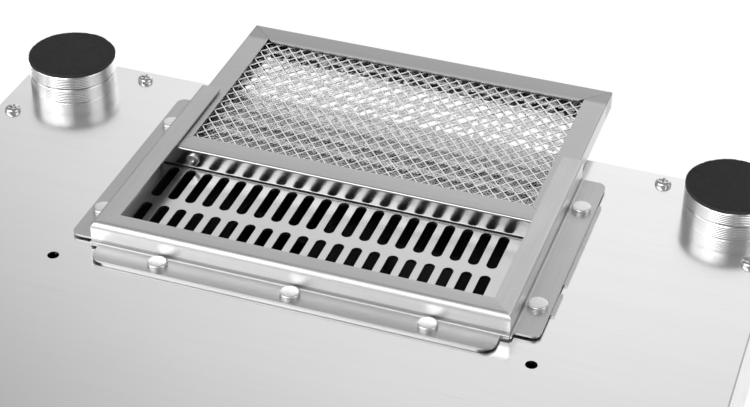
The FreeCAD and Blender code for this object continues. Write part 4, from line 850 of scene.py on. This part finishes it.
def display():
    """The screen's glass over its module, with a heating curve and its axes lit on it."""
    lens_low, lens_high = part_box("display_module")
    centre_z = (lens_low.z + lens_high.z) / 2
    left, right = SCREEN_LEFT, SCREEN_RIGHT
    foot, head = centre_z - SCREEN_HALF_H, centre_z + SCREEN_HALF_H
    bm = bmesh.new()
    patch(bm, [(left, foot), (right, foot), (right, head), (left, head)])
    raised(bm, "display_glass", "oven", screen_finish(),
           lens_low.y - GLASS_GAP, GLASS_THICK, GLASS_RIM)
    front = lens_low.y - GLASS_GAP - GLASS_THICK - LIT_GAP
    bm = bmesh.new()
    ribbon(bm, smoothed([(left + x * MM, foot + z * MM) for x, z in CURVE]), CURVE_WIDE)
    raised(bm, "display_curve", "oven",
           lit_finish("lit_amber", rgb(1.0, 0.45, 0.06), 2.2), front, LIT_PROUD, LIT_RIM)
    bm = bmesh.new()
    ribbon(bm, [(left + AXIS_SIDE, head - AXIS_SIDE), (left + AXIS_SIDE, foot + AXIS_FOOT),
                (right - AXIS_SIDE, foot + AXIS_FOOT)], FINE_LINE)
    for n in range(1, 8):
        x = left + AXIS_SIDE + n * 10.5 * MM
        ribbon(bm, [(x, foot + 4.0 * MM), (x, foot + 5.2 * MM)], FINE_LINE)
    for n in range(1, 5):
        z = foot + AXIS_FOOT + n * 5.4 * MM
        ribbon(bm, [(left + 4.5 * MM, z), (left + 5.7 * MM, z)], FINE_LINE)
    raised(bm, "display_axes", "oven",
           lit_finish("lit_white", rgb(0.6, 0.75, 0.8), 0.8), front, LIT_PROUD, LIT_RIM)


def key_sign(bm, sign, x, z):
    """A triangle for start, a square for stop, and a ringed dot for select."""
    arm = SIGN_ARM
    if sign == "go":
        patch(bm, [(x - arm, z - arm), (x + arm, z), (x - arm, z + arm)])
    elif sign == "halt":
        patch(bm, [(x - arm, z - arm), (x + arm, z - arm), (x + arm, z + arm), (x - arm, z + arm)])
    else:
        ribbon(bm, circle(x, z, arm * 0.9), BOLD_LINE, closed=True)
        patch(bm, circle(x, z, arm * 0.35, 24))


def panel_print():
    """Symbols over the keys and the switch, and the knob's scale, printed on the control panel."""
    low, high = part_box("control_panel")
    middle_z = (low.z + high.z) / 2
    bm = bmesh.new()
    for node, sign in (("start_button", "go"), ("select_button", "dot"), ("stop_button", "halt")):
        key_low, key_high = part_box(node)
        x = (key_low.x + key_high.x) / 2
        key_sign(bm, sign, x, key_high.z + SIGN_RISE)
        ribbon(bm, circle(x, middle_z, KEY_RING, 72), RING_LINE, closed=True)
    knob_low, knob_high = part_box("control_knob")
    knob_x, knob_z = (knob_low.x + knob_high.x) / 2, (knob_low.z + knob_high.z) / 2
    for n in range(SCALE_MARKS):
        turn = math.radians(SCALE_FROM - n * SCALE_STEP)
        is_long = n % LONG_EVERY == 0
        ribbon(bm, [(knob_x + r * math.cos(turn), knob_z + r * math.sin(turn))
                    for r in (LONG_MARK if is_long else SHORT_MARK)],
               BOLD_LINE if is_long else FINE_LINE)
    rocker_low, rocker_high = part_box("rocker")
    rocker_x = (rocker_low.x + rocker_high.x) / 2
    housing_low, housing_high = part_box("switch_housing")
    ribbon(bm, [(rocker_x, housing_high.z + 2.2 * MM), (rocker_x, housing_high.z + 5.4 * MM)],
           BOLD_LINE)
    ribbon(bm, circle(rocker_x, housing_low.z - 3.8 * MM, 1.5 * MM, 36), BOLD_LINE, closed=True)
    raised(bm, "panel_print", "oven", PRINT,
           low.y - 0.005 * MM, 0.06 * MM, 0.01 * MM)


def knob_line():
    """Paint in the knob's pointer groove."""
    low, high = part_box("control_knob")
    x, z = (low.x + high.x) / 2, (low.z + high.z) / 2
    bm = bmesh.new()
    ribbon(bm, [(x, z + POINTER[0]), (x, z + POINTER[1])], POINTER_WIDE)
    raised(bm, "knob_line", "knob", PRINT,
           low.y + POINTER_DEEP, 0.5 * MM, 0.08 * MM)


# ---- the room ----
FLOOR_HALF = 14.0


def floor():
    """A pale floor that only shows from above."""
    bm = bmesh.new()
    bmesh.ops.create_grid(bm, x_segments=1, y_segments=1, size=FLOOR_HALF)
    mesh = bpy.data.meshes.new("studio_floor")
    bm.to_mesh(mesh)
    bm.free()
    plane = bpy.data.objects.new("studio_floor", mesh)
    bpy.context.scene.collection.objects.link(plane)
    made = bpy.data.materials.new("pale_floor")
    made.use_nodes = True
    net = Net(made.node_tree)
    nodes = made.node_tree.nodes
    shader = nodes["Principled BSDF"]
    shader.inputs["Base Color"].default_value = grey(0.80)
    shader.inputs["Roughness"].default_value = 0.7
    back = net.node("ShaderNodeNewGeometry").outputs["Backfacing"]
    clear = net.node("ShaderNodeBsdfTransparent").outputs[0]
    both = net.node("ShaderNodeMixShader", {0: back, 1: shader.outputs[0], 2: clear}).outputs[0]
    net.put(nodes["Material Output"].inputs["Surface"], both)
    mesh.materials.append(made)
    plane.visible_shadow = False
    plane.visible_diffuse = False
    plane.visible_glossy = False
    plane.visible_transmission = False


def direction(azimuth, elevation):
    """A unit vector from degrees of azimuth, 0 at the front and 90 at the right, and elevation."""
    turn, lift = math.radians(azimuth), math.radians(elevation)
    return (math.sin(turn) * math.cos(lift), -math.cos(turn) * math.cos(lift), math.sin(lift))


CAMERA_AZIMUTH = 161.4
SOFTBOXES = (
    # azimuth, elevation, full within, gone at, strength
    (-9, -19, 8, 37, 0.79),
    (CAMERA_AZIMUTH + 68, -34, 22, 34, 1.4),
    (CAMERA_AZIMUTH - 68, -34, 10, 24, 1.25),
    (187, -54, 8, 18, 1.45),
    (205, -53, 8, 21, 1.62),
    (24, -27, 8, 24, 0.6),
    (20, 50, 20, 60, 0.7),
    (200, 55, 20, 60, 0.4),
)
DIM_BELOW, DIM_ABOVE, HORIZON = 0.30, 0.62, 0.15


def room_light():
    """A soft pale room with broad light boxes, plain white where the camera looks past the oven."""
    world = bpy.data.worlds.new("studio")
    bpy.context.scene.world = world
    world.use_nodes = True
    net = Net(world.node_tree)
    way = net.node("ShaderNodeTexCoord").outputs["Generated"]
    level = net.span(net.split(way)["Z"], -HORIZON, HORIZON, DIM_BELOW, DIM_ABOVE, soft=True)
    for azimuth, elevation, inner, outer, strength in SOFTBOXES:
        facing = net.dot(way, direction(azimuth, elevation))
        lit = net.span(facing, math.cos(math.radians(outer)), math.cos(math.radians(inner)),
                       0.0, strength, soft=True)
        level = net.math("ADD", level, lit)
    behind = net.node("ShaderNodeLightPath").outputs["Is Camera Ray"]
    soft = world.node_tree.nodes["Background"]
    net.put(soft.inputs["Strength"], level)
    white = net.node("ShaderNodeBackground", {"Color": grey(1.0), "Strength": 1.0}).outputs[0]
    both = net.node("ShaderNodeMixShader", {0: behind, 1: soft.outputs[0], 2: white}).outputs[0]
    soft.inputs["Color"].default_value = grey(1.0)
    net.put(world.node_tree.nodes["World Output"].inputs["Surface"], both)


OVEN_MIDDLE = Vector((0, 0, 0.12))


def soft_light(name, centre, size, power):
    """A square studio light, aimed at the oven."""
    data = bpy.data.lights.new(name, "AREA")
    data.size = size
    data.energy = power
    lamp = bpy.data.objects.new(name, data)
    bpy.context.scene.collection.objects.link(lamp)
    lamp.location = centre
    lamp.rotation_mode = "QUATERNION"
    lamp.rotation_quaternion = (OVEN_MIDDLE - Vector(centre)).to_track_quat("-Z", "Y")


CAMERA_AT = (0.25222, 0.5877, -0.51618)
CAMERA_RIGHT = (0.9446, -0.3281, -0.0134)
CAMERA_UP = (-0.1998, -0.5418, -0.8164)
LENS_MM, SENSOR_MM, CLIP_FROM, CLIP_TO = 91.95, 36.0, 0.05, 60.0


def main_camera():
    """Under the oven and behind it, with the underside turned up."""
    data = bpy.data.cameras.new("camera")
    data.lens, data.sensor_width = LENS_MM, SENSOR_MM
    data.clip_start, data.clip_end = CLIP_FROM, CLIP_TO
    camera = bpy.data.objects.new("camera", data)
    bpy.context.scene.collection.objects.link(camera)
    right = Vector(CAMERA_RIGHT).normalized()
    back = right.cross(Vector(CAMERA_UP)).normalized()
    up = back.cross(right)
    turned = Matrix((right, up, back)).transposed().to_4x4()
    camera.matrix_world = Matrix.Translation(CAMERA_AT) @ turned
    bpy.context.scene.camera = camera


# ---- the scene ----
for node_name, packed in frame["nodes"].items():
    dress(node_name, packed)

foot_rings()
for number, place_name in enumerate(FEET):
    foot_cap(place_name)
    foot_pad(place_name, PAD_SEED_STEP * (number + 1))

mesh_low, mesh_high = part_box("filter_meshes")
display()
panel_print()
knob_line()
expanded_face("expanded_mesh_lower", mesh_low.z + MESH_INSET, -MESH_TWIST, ["filter_meshes"])
expanded_face("expanded_mesh_upper", mesh_high.z - MESH_INSET, MESH_TWIST)
filter_core()

floor()
room_light()
soft_light("key_light", (-1.6, -2.2, 2.6), 2.2, 45)
soft_light("fill_light", (2.4, 1.6, 1.9), 2.0, 22)
bpy.context.scene.view_settings.view_transform = "Standard"
main_camera()
